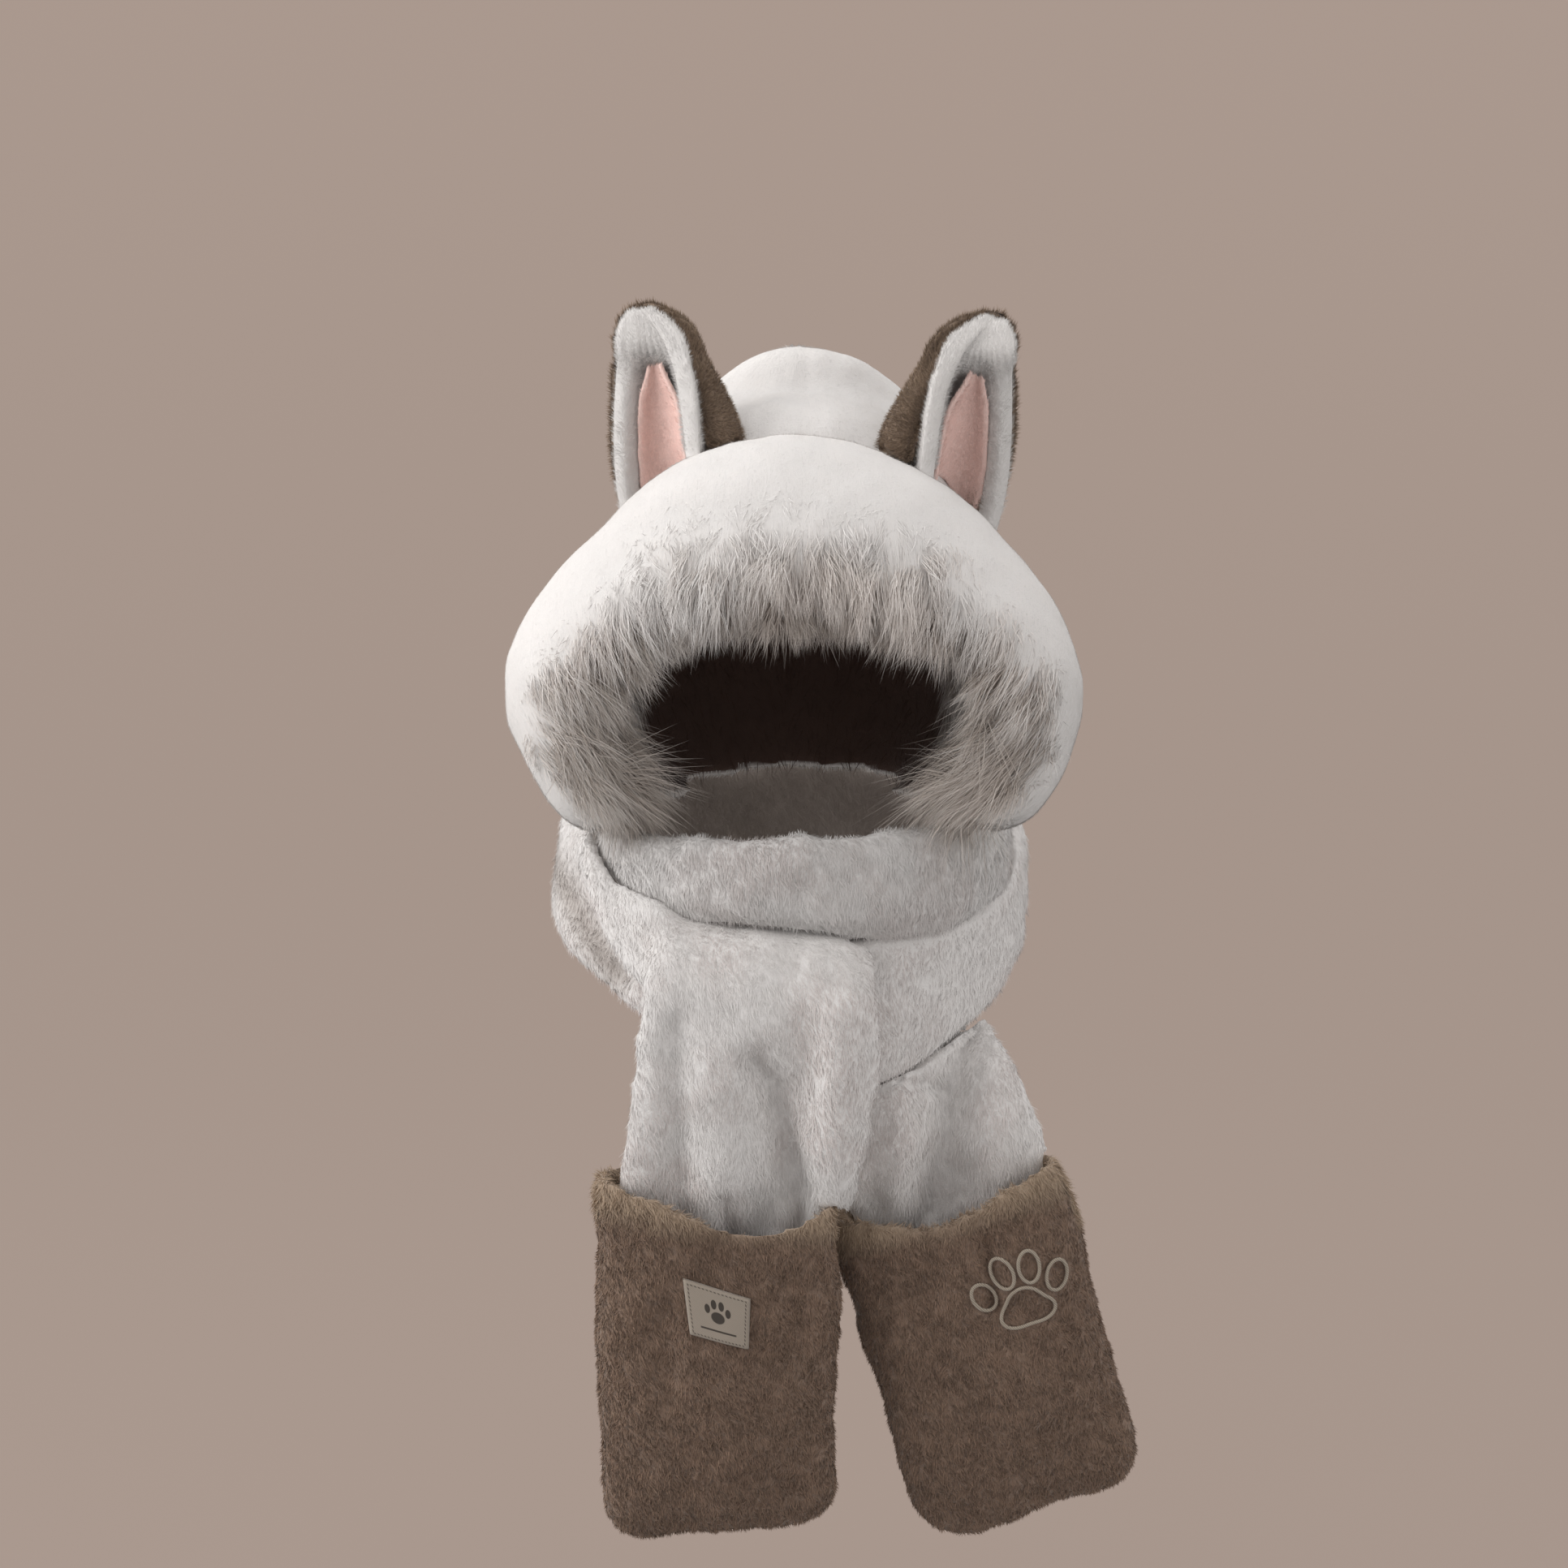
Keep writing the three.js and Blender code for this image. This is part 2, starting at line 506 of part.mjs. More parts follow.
// Front panel: comes out between the chin band and the loop, drapes over the loop and hangs into its pocket.
const hang = (share) => -1.245 - (share * hangLength) / hoodHeight;
const FRONT_PANEL = smooth([
  { across: -0.07, out: -0.868, up: hang(-0.02), wide: 0.84, thick: 0.7, turn: -3, yaw: 0 },
  { across: -0.07, out: -1.018, up: hang(-0.01), wide: 0.92, thick: 0.85, turn: -3, yaw: 0 },
  { across: -0.07, out: -1.118, up: hang(0.075), wide: 0.98, thick: 1.0, turn: -2, yaw: 0 },
  { across: -0.075, out: -1.146, up: hang(0.19), wide: 1.0, thick: 1.0, turn: 0, yaw: 0 },
  { across: -0.09, out: -1.146, up: hang(0.36), wide: 1.03, thick: 1.0, turn: 0, yaw: 0 },
  { across: -0.115, out: -1.129, up: hang(0.53), wide: 1.02, thick: 1.0, turn: 0, yaw: 0 },
  { across: -0.143, out: -1.102, up: hang(0.69), wide: 1.0, thick: 0.95, turn: 0, yaw: 0 },
  { across: -0.165, out: -1.068, up: hang(0.81), wide: 0.92, thick: 0.7, turn: 0, yaw: 0 },
  { across: -0.183, out: -1.052, up: hang(1.0), wide: 0.86, thick: PANEL_END, turn: 0, yaw: 0 },
]);
// Lengthwise folds: at across the strip and drift down it, broad in half widths, deep as a share of the
// thickness; from and full are where along the strip the fold begins and is deepest, ease where it starts to
// flatten.
const FRONT_FOLDS = [
  { at: -0.5, drift: 0.0, broad: 0.13, deep: 0.42, from: 0.22, full: 0.6, ease: 0.74 },
  { at: 0.18, drift: 0.15, broad: 0.15, deep: 0.74, from: 0.3, full: 0.56, ease: 0.74 },
];
const frontPanel = strip(FRONT_PANEL, FRONT_FOLDS, scarfWidth, scarfThick, 13, 24);

// Side panel: comes out from under the neck loop and swings out to its own pocket.
const swing = (share) => -1.395 - (share * sideLength) / hoodHeight;
const SIDE_PANEL = smooth([
  { across: 0.305, out: -0.790, up: swing(0.0), wide: 0.56, thick: 0.8, turn: 20, yaw: 34 },
  { across: 0.33, out: -0.840, up: swing(0.2), wide: 0.68, thick: 1.0, turn: 20, yaw: 28 },
  { across: 0.355, out: -0.901, up: swing(0.38), wide: 0.78, thick: 1.0, turn: 19, yaw: 16 },
  { across: 0.372, out: -0.929, up: swing(0.56), wide: 0.89, thick: 1.0, turn: 18, yaw: 6 },
  { across: 0.392, out: -0.907, up: swing(0.72), wide: 0.92, thick: 0.85, turn: 17, yaw: 0 },
  { across: 0.41, out: -0.896, up: swing(0.84), wide: 0.88, thick: 0.65, turn: 16, yaw: 0 },
  { across: 0.425, out: -0.890, up: swing(1.0), wide: 0.82, thick: PANEL_END, turn: 16, yaw: 0 },
]);
const SIDE_FOLDS = [
  { at: 0.06, drift: -0.04, broad: 0.17, deep: 0.62, from: 0.12, full: 0.5, ease: 0.68 },
  { at: -0.62, drift: 0.0, broad: 0.14, deep: 0.34, from: 0.25, full: 0.6, ease: 0.68 },
];
const sidePanel = strip(SIDE_PANEL, SIDE_FOLDS, scarfWidth, scarfThick, 11, 20);

// The two pockets, each modelled upright about its own centre: tuck is how much of the panel's end lies in it
// and tilt its lean, in degrees. In shares of pocketHeight, the mouth's front edge dips at dipAt across it,
// and its right end is lifted by lift.
const POCKETS = [
  { name: "front_pocket", holds: FRONT_PANEL, tuck: 0.3, tilt: 0, dip: 0.09, dipAt: 0.3, lift: -0.03 },
  { name: "side_pocket", holds: SIDE_PANEL, tuck: 0.18, tilt: 16, dip: 0.085, dipAt: -0.1, lift: 0 },
];
const POCKET_HEEL = 0.02; // the bottom's right end is lifted by this share of the height
const POCKET_HEM = 9; // the bottom is sewn shut this far below its deepest stitch
const POCKET_FULL = 0.55; // share of the height at which the pocket is at its deepest
const POCKET_SWELL = 0.75; // below 1 fills the pocket out sooner
const POCKET_SLACK = 0.8; // how far the mouth's dip follows dipAt

// A pocket's centre: its panel's end lies against its back wall.
function pocketCentre({ holds, tuck, tilt }) {
  const down = point(Math.sin(radians(tilt)), 0, -Math.cos(radians(tilt)));
  const forward = pocketDepth / 2 - pocketWall - PANEL_END * scarfThick;
  return stripMiddle(holds(1))
    .addScaledVector(down, pocketHeight * (0.5 - tuck))
    .add(point(0, -forward, 0));
}

// A pocket's outline at a height above its bottom: half its width and half its depth.
function pocketSection(height) {
  const corner = Math.max(0, 1 - height / pocketCorner);
  const half = pocketWidth / 2 - pocketCorner * (1 - Math.sqrt(1 - corner ** 2));
  const fill = Math.sin((Math.PI / 2) * Math.min(1, (height + POCKET_HEM) / (POCKET_FULL * pocketHeight)));
  return { half, deep: (pocketDepth / 2) * fill ** POCKET_SWELL };
}

// A point of a pocket's skin: inset from the outside, v from the bottom to the mouth.
function pocketPoint(pocket, v, u, w, inset) {
  const { half, deep } = pocketSection(v * pocketHeight);
  const front = Math.max(-w, 0);
  const fromDip = mix(u, (u - pocket.dipAt) / (1 + Math.abs(pocket.dipAt)), POCKET_SLACK);
  const mouth = 1 - pocket.dip * front * Math.cos((Math.PI / 2) * fromDip) ** 2 + pocket.lift * u;
  const z = pocketHeight * (mix(POCKET_HEEL * u, mouth, v) - 0.5) + inset * (1 - v);
  return point(u * Math.max(half - inset, 1), w * Math.max(deep - inset, 1), z);
}

// A pocket's sections, as shares of its height: close together round the bottom corners.
const cornerTop = pocketCorner / pocketHeight;
const POCKET_SECTIONS = [
  ...steps(4).map((share) => cornerTop * (1 - Math.cos((share * Math.PI) / 2))),
  ...steps(4)
    .slice(1)
    .map((share) => mix(cornerTop, 1, share)),
];

function pocketBag(pocket, grow = 0) {
  const count = 24;
  const skin = (v, inset) => ovalRing(count, (u, w) => pocketPoint(pocket, v, u, w, inset));
  const outer = POCKET_SECTIONS.map((v) => skin(v, -grow));
  const rim = skin(1, pocketWall / 2).map((p) => p.add(point(0, 0, pocketWall / 2 + grow)));
  const inner = POCKET_SECTIONS.toReversed().map((v) => skin(v, pocketWall + grow));
  return loft([...outer, rim, ...inner]);
}

// The front face of a pocket at x across it and height above its bottom.
function pocketFace(pocket, x, height, offset) {
  const u = x / pocketSection(height).half;
  const w = -((1 - Math.abs(u) ** (2 / PLUMP)) ** (PLUMP / 2));
  return pocketPoint(pocket, height / pocketHeight, u, w, 0).add(point(0, -offset, 0));
}

// Label: a small sewn patch on the front pocket, curved to its face and turned a little.
const LABEL = { across: 0.0, up: 0.75, turn: 8 };
function pocketLabel(pocket) {
  const turn = radians(LABEL.turn);
  const place = (a, b, offset) => {
    const x = LABEL.across * pocketWidth + a * labelWidth * Math.cos(turn) + b * labelHeight * Math.sin(turn);
    const up = b * labelHeight * Math.cos(turn) - a * labelWidth * Math.sin(turn);
    return pocketFace(pocket, x, LABEL.up * pocketHeight + up, offset);
  };
  const face = (side) => seamGap + side * labelThick;
  return loft(steps(5).map((a) => wallRing(4, (s, side) => place(a - 0.5, s / 2, face(side)))));
}

// Assembly.
const hood = new THREE.Group();
hood.name = "hood";
const grownBrim = furBrim(seamGap);
const grownShell = hoodShell(seamGap);
hood.add(named("fur_brim", furBrim(), FROST_PILE));
const shell = named("hood_shell", hoodShell(), WHITE_PILE);
hood.add(shell);
trim(shell, grownBrim);
const fringe = named("face_fringe", faceFringe(), FROST_PILE);
hood.add(fringe);
trim(fringe, grownBrim);

for (const seat of EARS) {
  const ear = new THREE.Group();
  ear.name = `ear_${seat.side}`;
  ear.position.set(seat.across * hoodWidth, seat.out * hoodDepth, (seat.up - 1) * hoodHeight);
  ear.rotation.set(radians(seat.pitch), radians(seat.roll), radians(seat.yaw), "ZYX");
  hood.add(ear);
  const colors = { ear_back: EAR_BROWN, ear_lining: WHITE_PILE, ear_inset: PINK_PILE };
  const nestedIn = [];
  for (const [layer, form] of Object.entries(EAR_LAYERS)) {
    const mesh = named(`${layer}_${seat.side}`, earLayer(seat.mirror, form), colors[layer]);
    ear.add(mesh);
    trim(mesh, grownShell, grownBrim, ...nestedIn);
    nestedIn.push(earLayer(seat.mirror, form, seamGap).applyMatrix4(ear.matrix));
  }
}

const scarf = new THREE.Group();
scarf.name = "scarf";
const chin = named("chin_band", chinBand(), WHITE_PILE);
const loop = named("neck_loop", neckLoop(), WHITE_PILE);
const fold = named("side_fold", sideFold(), WHITE_PILE);
const front = named("front_panel", frontPanel(), WHITE_PILE);
const side = named("side_panel", sidePanel(), WHITE_PILE);
scarf.add(chin, loop, fold, front, side);
trim(chin, grownBrim, grownShell);
trim(loop, chinBand(seamGap), grownBrim, grownShell);
trim(fold, grownBrim, grownShell, chinBand(seamGap), neckLoop(seamGap));
trim(front, neckLoop(seamGap), chinBand(seamGap), sideFold(seamGap));
trim(side, neckLoop(seamGap), frontPanel(seamGap));

const POCKET_PANELS = { front_pocket: front, side_pocket: side };
for (const pocket of POCKETS) {
  const end = new THREE.Group();
  end.position.copy(pocketCentre(pocket));
  end.rotation.y = -radians(pocket.tilt);
  end.add(named(pocket.name, pocketBag(pocket), BROWN_PILE));
  if (pocket === POCKETS[0]) end.add(named("pocket_label", pocketLabel(pocket), LABEL_CREAM, 0.8));
  scarf.add(end);
  end.updateMatrix();
  trim(POCKET_PANELS[pocket.name], pocketBag(pocket, seamGap).applyMatrix4(end.matrix));
}

const hoodScarf = new THREE.Group();
hoodScarf.name = "hood_scarf";
hoodScarf.add(hood, scarf);

export default hoodScarf;
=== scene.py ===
"""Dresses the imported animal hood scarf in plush, long fur, ears, pockets and sewn trim."""

import math
from typing import NamedTuple

import bmesh
import bpy
import numpy as np
from mathutils import Matrix, Vector, noise
from mathutils.bvhtree import BVHTree


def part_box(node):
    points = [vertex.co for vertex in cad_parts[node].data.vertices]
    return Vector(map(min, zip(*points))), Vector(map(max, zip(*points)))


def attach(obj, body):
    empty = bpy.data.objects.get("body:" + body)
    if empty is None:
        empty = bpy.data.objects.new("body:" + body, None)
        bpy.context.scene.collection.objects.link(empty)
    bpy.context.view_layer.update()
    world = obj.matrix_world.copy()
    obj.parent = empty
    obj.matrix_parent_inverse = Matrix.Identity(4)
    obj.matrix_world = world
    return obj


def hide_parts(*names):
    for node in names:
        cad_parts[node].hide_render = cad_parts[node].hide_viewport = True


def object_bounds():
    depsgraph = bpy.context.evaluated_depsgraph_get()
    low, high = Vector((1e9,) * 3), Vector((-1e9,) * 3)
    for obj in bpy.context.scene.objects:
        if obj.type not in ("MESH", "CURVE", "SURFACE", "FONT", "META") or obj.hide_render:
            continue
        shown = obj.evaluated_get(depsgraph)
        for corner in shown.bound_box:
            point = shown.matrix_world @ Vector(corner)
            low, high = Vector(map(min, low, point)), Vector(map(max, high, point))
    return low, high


bl_info = {
    "name": "Animal Hood Scarf",
    "version": (1, 0, 0),
    "blender": (4, 5, 0),
    "location": "View3D > Sidebar > Hood Scarf",
    "description": "Plush hood with ears and a long-pile brim, joined to a scarf that ends in hand pockets",
    "category": "Add Mesh",
}

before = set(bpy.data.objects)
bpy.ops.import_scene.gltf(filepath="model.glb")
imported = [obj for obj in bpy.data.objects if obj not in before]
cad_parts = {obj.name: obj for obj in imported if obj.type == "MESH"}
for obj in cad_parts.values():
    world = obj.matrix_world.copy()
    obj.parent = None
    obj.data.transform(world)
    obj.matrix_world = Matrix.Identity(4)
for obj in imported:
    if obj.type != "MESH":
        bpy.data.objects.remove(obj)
CAD_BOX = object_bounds()

PIECES = {}  # the cloth pieces made so far, by name
OPENING = Vector((0.002, -0.19, -0.213))  # middle of the face opening
OPENING_HALF = (0.128, 0.066)  # its half width and half height
MERGE = 1e-5  # points nearer than this are made one


# Settings


def length(name, description, default):
    """A length that a user can set, in metres."""
    return bpy.props.FloatProperty(
        name=name, description=description, default=default, min=0.0, precision=4, unit="LENGTH"
    )


def colour(name, description, default):
    """A colour that a user can set."""
    return bpy.props.FloatVectorProperty(
        name=name, description=description, default=default, size=3, min=0.0, max=1.0, subtype="COLOR"
    )


class HoodScarfCloth(bpy.types.PropertyGroup):
    """Sizes of the pile and the sewn trim."""

    plush_pile: length("Plush pile", "Length of the white plush's pile", 0.0045)
    brim_fur: length("Brim fur", "Length of the long fur round the face", 0.027)
    brim_pile: length("Brim pile", "Length of the short white pile over the brim", 0.0045)
    ear_pile: length("Ear pile", "Length of the ears' white and brown pile", 0.005)
    inset_pile: length("Inset pile", "Length of the pink pile in the ear", 0.003)
    pocket_pile: length("Pocket pile", "Length of the pockets' brown pile", 0.0036)
    thread: length("Thread", "Thickness of the sewn motif's thread", 0.0024)
    motif: length("Motif", "Width of the sewn paw on the side pocket", 0.07)


class HoodScarfColours(bpy.types.PropertyGroup):
    """Colours of the pile and the trim."""

    white: colour("White", "The plush's pile", (0.77, 0.75, 0.735))
    white_base: colour("White base", "The plush's ground under the pile", (0.73, 0.705, 0.69))
    frost_tip: colour("Frost tips", "Tips of the long fur", (0.93, 0.91, 0.895))
    # frost roots: the long fur's own darker roots, and also the painted shade of the brim's lower and inner
    # fur
    frost_root_and_shade: colour("Frost roots", "Roots of the long fur", (0.46, 0.395, 0.345))
    # lining: painted shade, the dark colour of the hood's inward-facing inside and of its cheek fur
    lining: colour("Painted_shade", "Inside of the hood, behind the fur", (0.115, 0.07, 0.055))
    brown: colour("Brown", "Tips of the pockets' pile", (0.3, 0.203, 0.147))
    brown_base: colour("Brown base", "Ground of the pockets' pile", (0.15, 0.104, 0.078))
    ear_brown: colour("Ear brown", "Backs of the ears", (0.31, 0.222, 0.152))
    pink: colour("Pink", "Insets of the ears", (0.97, 0.735, 0.675))
    tape: colour("Tape", "The woven patch on the front pocket", (0.47, 0.4, 0.33))
    cord: colour("Cord", "Thread of the sewn motif", (0.5, 0.42, 0.33))


class HoodScarfStage(bpy.types.PropertyGroup):
    """Floor, light and viewpoint."""

    backdrop: colour("Backdrop", "The evenly lit floor and wall", (0.391, 0.309, 0.266))
    distance: length("Distance", "From the camera to the middle of the hood scarf", 1.8)
    lens: bpy.props.FloatProperty(
        name="Lens", description="The camera's focal length in millimetres", default=60.99, min=10.0
    )
    elevation: bpy.props.FloatProperty(
        name="Elevation",
        description="How far above the horizon the camera looks from",
        default=math.radians(10),
        subtype="ANGLE",
    )
    floor_drop: length("Floor drop", "From the pockets' bottoms down to the floor", 0.16)
    room: length("Room", "From the middle of the floor to the round wall", 3.4)


def settings():
    """The settings of pile and trim, and those of colour."""
    scene = bpy.context.scene
    return scene.hood_scarf_cloth, scene.hood_scarf_colours


def toned(tone, much):
    """A colour times a number."""
    return tuple(c * much for c in tone)


# Nodes, written as sums


def is_vector(value):
    """True for three numbers or a socket that carries them."""
    if isinstance(value, Value):
        return value.socket.type in {"VECTOR", "RGBA"}
    return isinstance(value, (tuple, list, Vector))


def maths(operation, swapped=False):
    """A method that adds a maths node to this value and another."""

    def method(self, value):
        return self.net.apply(operation, *((value, self) if swapped else (self, value)))

    return method


class Value:
    """A node's output that takes part in Python sums, in a shader tree and a geometry tree alike."""

    __add__ = __radd__ = maths("ADD")
    __sub__ = maths("SUBTRACT")
    __rsub__ = maths("SUBTRACT", swapped=True)
    __mul__ = __rmul__ = maths("MULTIPLY")
    __truediv__ = maths("DIVIDE")
    power = maths("POWER")
    most = maths("MAXIMUM")
    cross = maths("CROSS_PRODUCT")

    def __init__(self, net, socket):
        self.net = net
        self.socket = socket

    def __abs__(self):
        return self.net.apply("ABSOLUTE", self)

    def other(self, name):
        """Another output of the same node."""
        return Value(self.net, self.socket.node.outputs[name])

    def unit(self):
        """This vector at length 1."""
        return self.net.apply("NORMALIZE", self)

    def wave(self, pitch):
        """A sine wave along this value, one to each pitch."""
        return self.net.apply("SINE", self * (2 * math.pi / pitch))

    def dot(self, value):
        """The dot product with another vector."""
        kind = "ShaderNodeVectorMath"
        return self.net.add(kind, {"operation": "DOT_PRODUCT"}, (self, value), out="Value")

    def part(self, axis):
        """One component of this vector, X, Y or Z."""
        return self.net.add("ShaderNodeSeparateXYZ", {}, (self,), out=axis)

    def between(self, low, high):
        """0 below low, 1 above high and a soft step between them."""
        return self.net.add(
            "ShaderNodeMapRange",
            {"interpolation_type": "SMOOTHSTEP"},
            {"Value": self, "From Min": low, "From Max": high},
        )


class Net:
    """Adds nodes to one tree."""

    def __init__(self, tree):
        self.tree = tree

    def add(self, kind, settings=None, inputs=(), out=0):
        """A node of this kind: its settings first, then the values or links of its sockets."""
        node = self.tree.nodes.new(kind)
        for name, value in (settings or {}).items():
            setattr(node, name, value)
        pairs = inputs.items() if isinstance(inputs, dict) else enumerate(inputs)
        for name, value in pairs:
            socket = node.inputs[name]
            if isinstance(value, Value):
                self.tree.links.new(value.socket, socket)
            elif socket.type == "VECTOR" and not is_vector(value):
                socket.default_value = (value, value, value)
            elif socket.type == "RGBA":
                socket.default_value = (*value, 1.0)
            else:
                socket.default_value = value
        return Value(self, node.outputs[out]) if node.outputs else node

    def apply(self, operation, *values):
        """A maths node on these values, for vectors where one of them is a vector."""
        vector = any(is_vector(value) for value in values)
        kind = "ShaderNodeVectorMath" if vector else "ShaderNodeMath"
        return self.add(kind, {"operation": operation}, values)

    def place(self):
        """Where the surface is, in the piece's own coordinates, in a shader tree."""
        return self.add("ShaderNodeTexCoord", out="Object")

    def noise(self, place, scale, detail=2.0, roughness=0.5, distortion=0.0, out="Fac"):
        """Smooth noise at a place, scale lumps to a metre."""
        inputs = {"Vector": place, "Scale": scale, "Detail": detail, "Roughness": roughness}
        return self.add("ShaderNodeTexNoise", {}, {**inputs, "Distortion": distortion}, out=out)

    def bump(self, strength, distance, height):
        """The normal of a surface with this height on it."""
        inputs = {"Strength": strength, "Distance": distance, "Height": height}
        return self.add("ShaderNodeBump", {}, inputs)

    def blend(self, first, second, factor):
        """A colour between two colours."""
        inputs = {0: factor, 6: first, 7: second}
        return self.add("ShaderNodeMix", {"data_type": "RGBA"}, inputs, out=2)

    def attribute(self, name, out="Fac"):
        """A value that the mesh carries, in a shader tree."""
        return self.add("ShaderNodeAttribute", {"attribute_name": name}, out=out)

    def carried(self, name, kind="FLOAT"):
        """A value that the mesh carries, in a geometry tree."""
        return self.add("GeometryNodeInputNamedAttribute", {"data_type": kind}, {"Name": name})

    def store(self, geometry, name, value, kind="FLOAT"):
        """The geometry with a value stored on its points."""
        inputs = {"Geometry": geometry, "Name": name, "Value": value}
        return self.add("GeometryNodeStoreNamedAttribute", {"data_type": kind}, inputs)

    def random(self, low, high, seed):
        """A random number, or vector, for each point."""
        vector = is_vector(low)
        names = (0, 1) if vector else (2, 3)
        inputs = {names[0]: low, names[1]: high, "Seed": seed}
        kind = "FLOAT_VECTOR" if vector else "FLOAT"
        return self.add("FunctionNodeRandomValue", {"data_type": kind}, inputs, out=0 if vector else 1)


def finish_of(name, **uniform):
    """A new material's net and shader, with the values that are the same all over set on its sockets."""
    material = bpy.data.materials.new(name)
    material.use_nodes = True
    net = Net(material.node_tree)
    shader = material.node_tree.nodes["Principled BSDF"]
    for socket, value in uniform.items():
        shader.inputs[socket.replace("_", " ")].default_value = value
    return material, net, shader


def feed(net, shader, **links):
    """Links what changes over the surface to the shader."""
    for socket, value in links.items():
        net.tree.links.new(value.socket, shader.inputs[socket.replace("_", " ")])


# Meshes


def link(name, data):
    """A new object in the scene."""
    piece = bpy.data.objects.new(name, data)
    bpy.context.scene.collection.objects.link(piece)
    return piece


def mesh_of(name, form):
    """The finished bmesh as a mesh."""
    mesh = bpy.data.meshes.new(name)
    form.to_mesh(mesh)
    form.free()
    return mesh


def tree_of(piece):
    """The piece's faces, to be searched or hit by rays."""
    form = bmesh.new()
    form.from_mesh(piece.data)
    tree = BVHTree.FromBMesh(form)
    form.free()
    return tree


def modify(piece, name, kind, **values):
    """Adds a modifier with these settings."""
    modifier = piece.modifiers.new(name, kind)
    for title, value in values.items():
        setattr(modifier, title, value)


def settle(piece):
    """Applies the piece's modifiers to its mesh."""
    graph = bpy.context.evaluated_depsgraph_get()
    mesh = bpy.data.meshes.new_from_object(piece.evaluated_get(graph))
    piece.modifiers.clear()
    piece.data = mesh


def soften(name, nodes, grid, rounds, levels=1):
    """The frame's solids as one cloth piece: rounded, remeshed to a grid if one is given, and smoothed."""
    form = bmesh.new()
    for node in nodes:
        form.from_mesh(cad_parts[node].data)
    bmesh.ops.remove_doubles(form, verts=form.verts, dist=MERGE)
    piece = link(name, mesh_of(name, form))
    modify(piece, "Round", "SUBSURF", levels=levels, render_levels=levels)
    if grid:
        modify(piece, "Grid", "REMESH", mode="VOXEL", voxel_size=grid, use_smooth_shade=True)
    modify(piece, "Ease", "SMOOTH", factor=0.5, iterations=rounds)
    settle(piece)
    piece.data.shade_smooth()
    return piece


def points_of(mesh):
    """The mesh's points and their normals, one row each."""
    places = np.empty(3 * len(mesh.vertices))
    normals = np.empty(3 * len(mesh.vertices))
    mesh.vertices.foreach_get("co", places)
    mesh.vertices.foreach_get("normal", normals)
    return places.reshape(-1, 3), normals.reshape(-1, 3)


def place_points(mesh, places):
    """Moves the mesh's points."""
    mesh.vertices.foreach_set("co", places.ravel())
    mesh.update()


def step(low, high, value):
    """0 below low, 1 above high and a soft step between them."""
    x = np.clip((value - low) / (high - low), 0.0, 1.0)
    return x * x * (3 - 2 * x)


def line_distance(places, line):
    """How far each point is from a line of (x, z) corners, as seen from the front."""
    flat = places[:, (0, 2)]
    nearest = np.full(len(flat), 1e9)
    for start, end in zip(line, line[1:]):
        start = np.array(start)
        along = np.array(end) - start
        reach = np.clip(((flat - start) @ along) / (along @ along), 0.0, 1.0)
        nearest = np.minimum(nearest, np.linalg.norm(flat - start - reach[:, None] * along, axis=1))
    return nearest


def puff(piece, much):
    """Moves the cloth's points outwards, each by its own much."""
    places, normals = points_of(piece.data)
    place_points(piece.data, places + normals * much[:, None])


def press(piece, folds):
    """Presses folds into the piece's front: each a line of (x, z) corners, a width and a depth."""
    places, normals = points_of(piece.data)
    depth = np.zeros(len(places))
    for line, width, deep in folds:
        depth += deep * np.exp(-((line_distance(places, line) / width) ** 2))
    puff(piece, -depth * step(0.0, 0.5, -normals[:, 1]))


def swell(piece, spot, reach, amount):
    """Swells the cloth round a spot."""
    places, _ = points_of(piece.data)
    puff(piece, amount * np.exp(-((np.linalg.norm(places - np.array(spot), axis=1) / reach) ** 2)))


def ruffle(piece, size, amount, seed):
    """Swells and hollows the cloth unevenly, by amount either way over lumps of this size."""
    places, _ = points_of(piece.data)
    shift = Vector((seed * 7.1, seed * 3.7, seed * 5.3))
    lumps = [
        noise.noise(Vector(p) / size + shift) + 0.35 * noise.noise(Vector(p) / (0.37 * size) - shift)
        for p in places
    ]
    puff(piece, amount * np.array(lumps))


def carry(mesh, name, values):
    """Stores a number, or three, on each of the mesh's points."""
    vector = values.ndim == 2
    layer = mesh.attributes.new(name, "FLOAT_VECTOR" if vector else "FLOAT", "POINT")
    layer.data.foreach_set("vector" if vector else "value", values.ravel().astype(np.float32))


def bare(places, neighbours, reach=0.0035):
    """For each point 1 where nothing lies against the cloth, and 0 within reach of a neighbour."""
    trees = [tree_of(PIECES.get(name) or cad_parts[name]) for name in neighbours]
    near = [any(tree.find_nearest(Vector(p), reach)[0] for tree in trees) for p in places]
    return 1.0 - np.array(near, dtype=float)


def turned_in(places, normals, middle, half):
    """For each point how far the cloth faces the middle of what it surrounds, from 0 to 1."""
    away = (places - np.array(middle)) / np.array(half)
    away /= np.linalg.norm(away, axis=1)[:, None]
    return step(0.1, 0.5, -np.einsum("ij,ij->i", normals, away))


def cushion(piece, nodes):
    """Declares a finished padded piece of the cloth."""
    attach(piece, "root")
    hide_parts(*nodes)
    PIECES[piece.name] = piece


# Fur


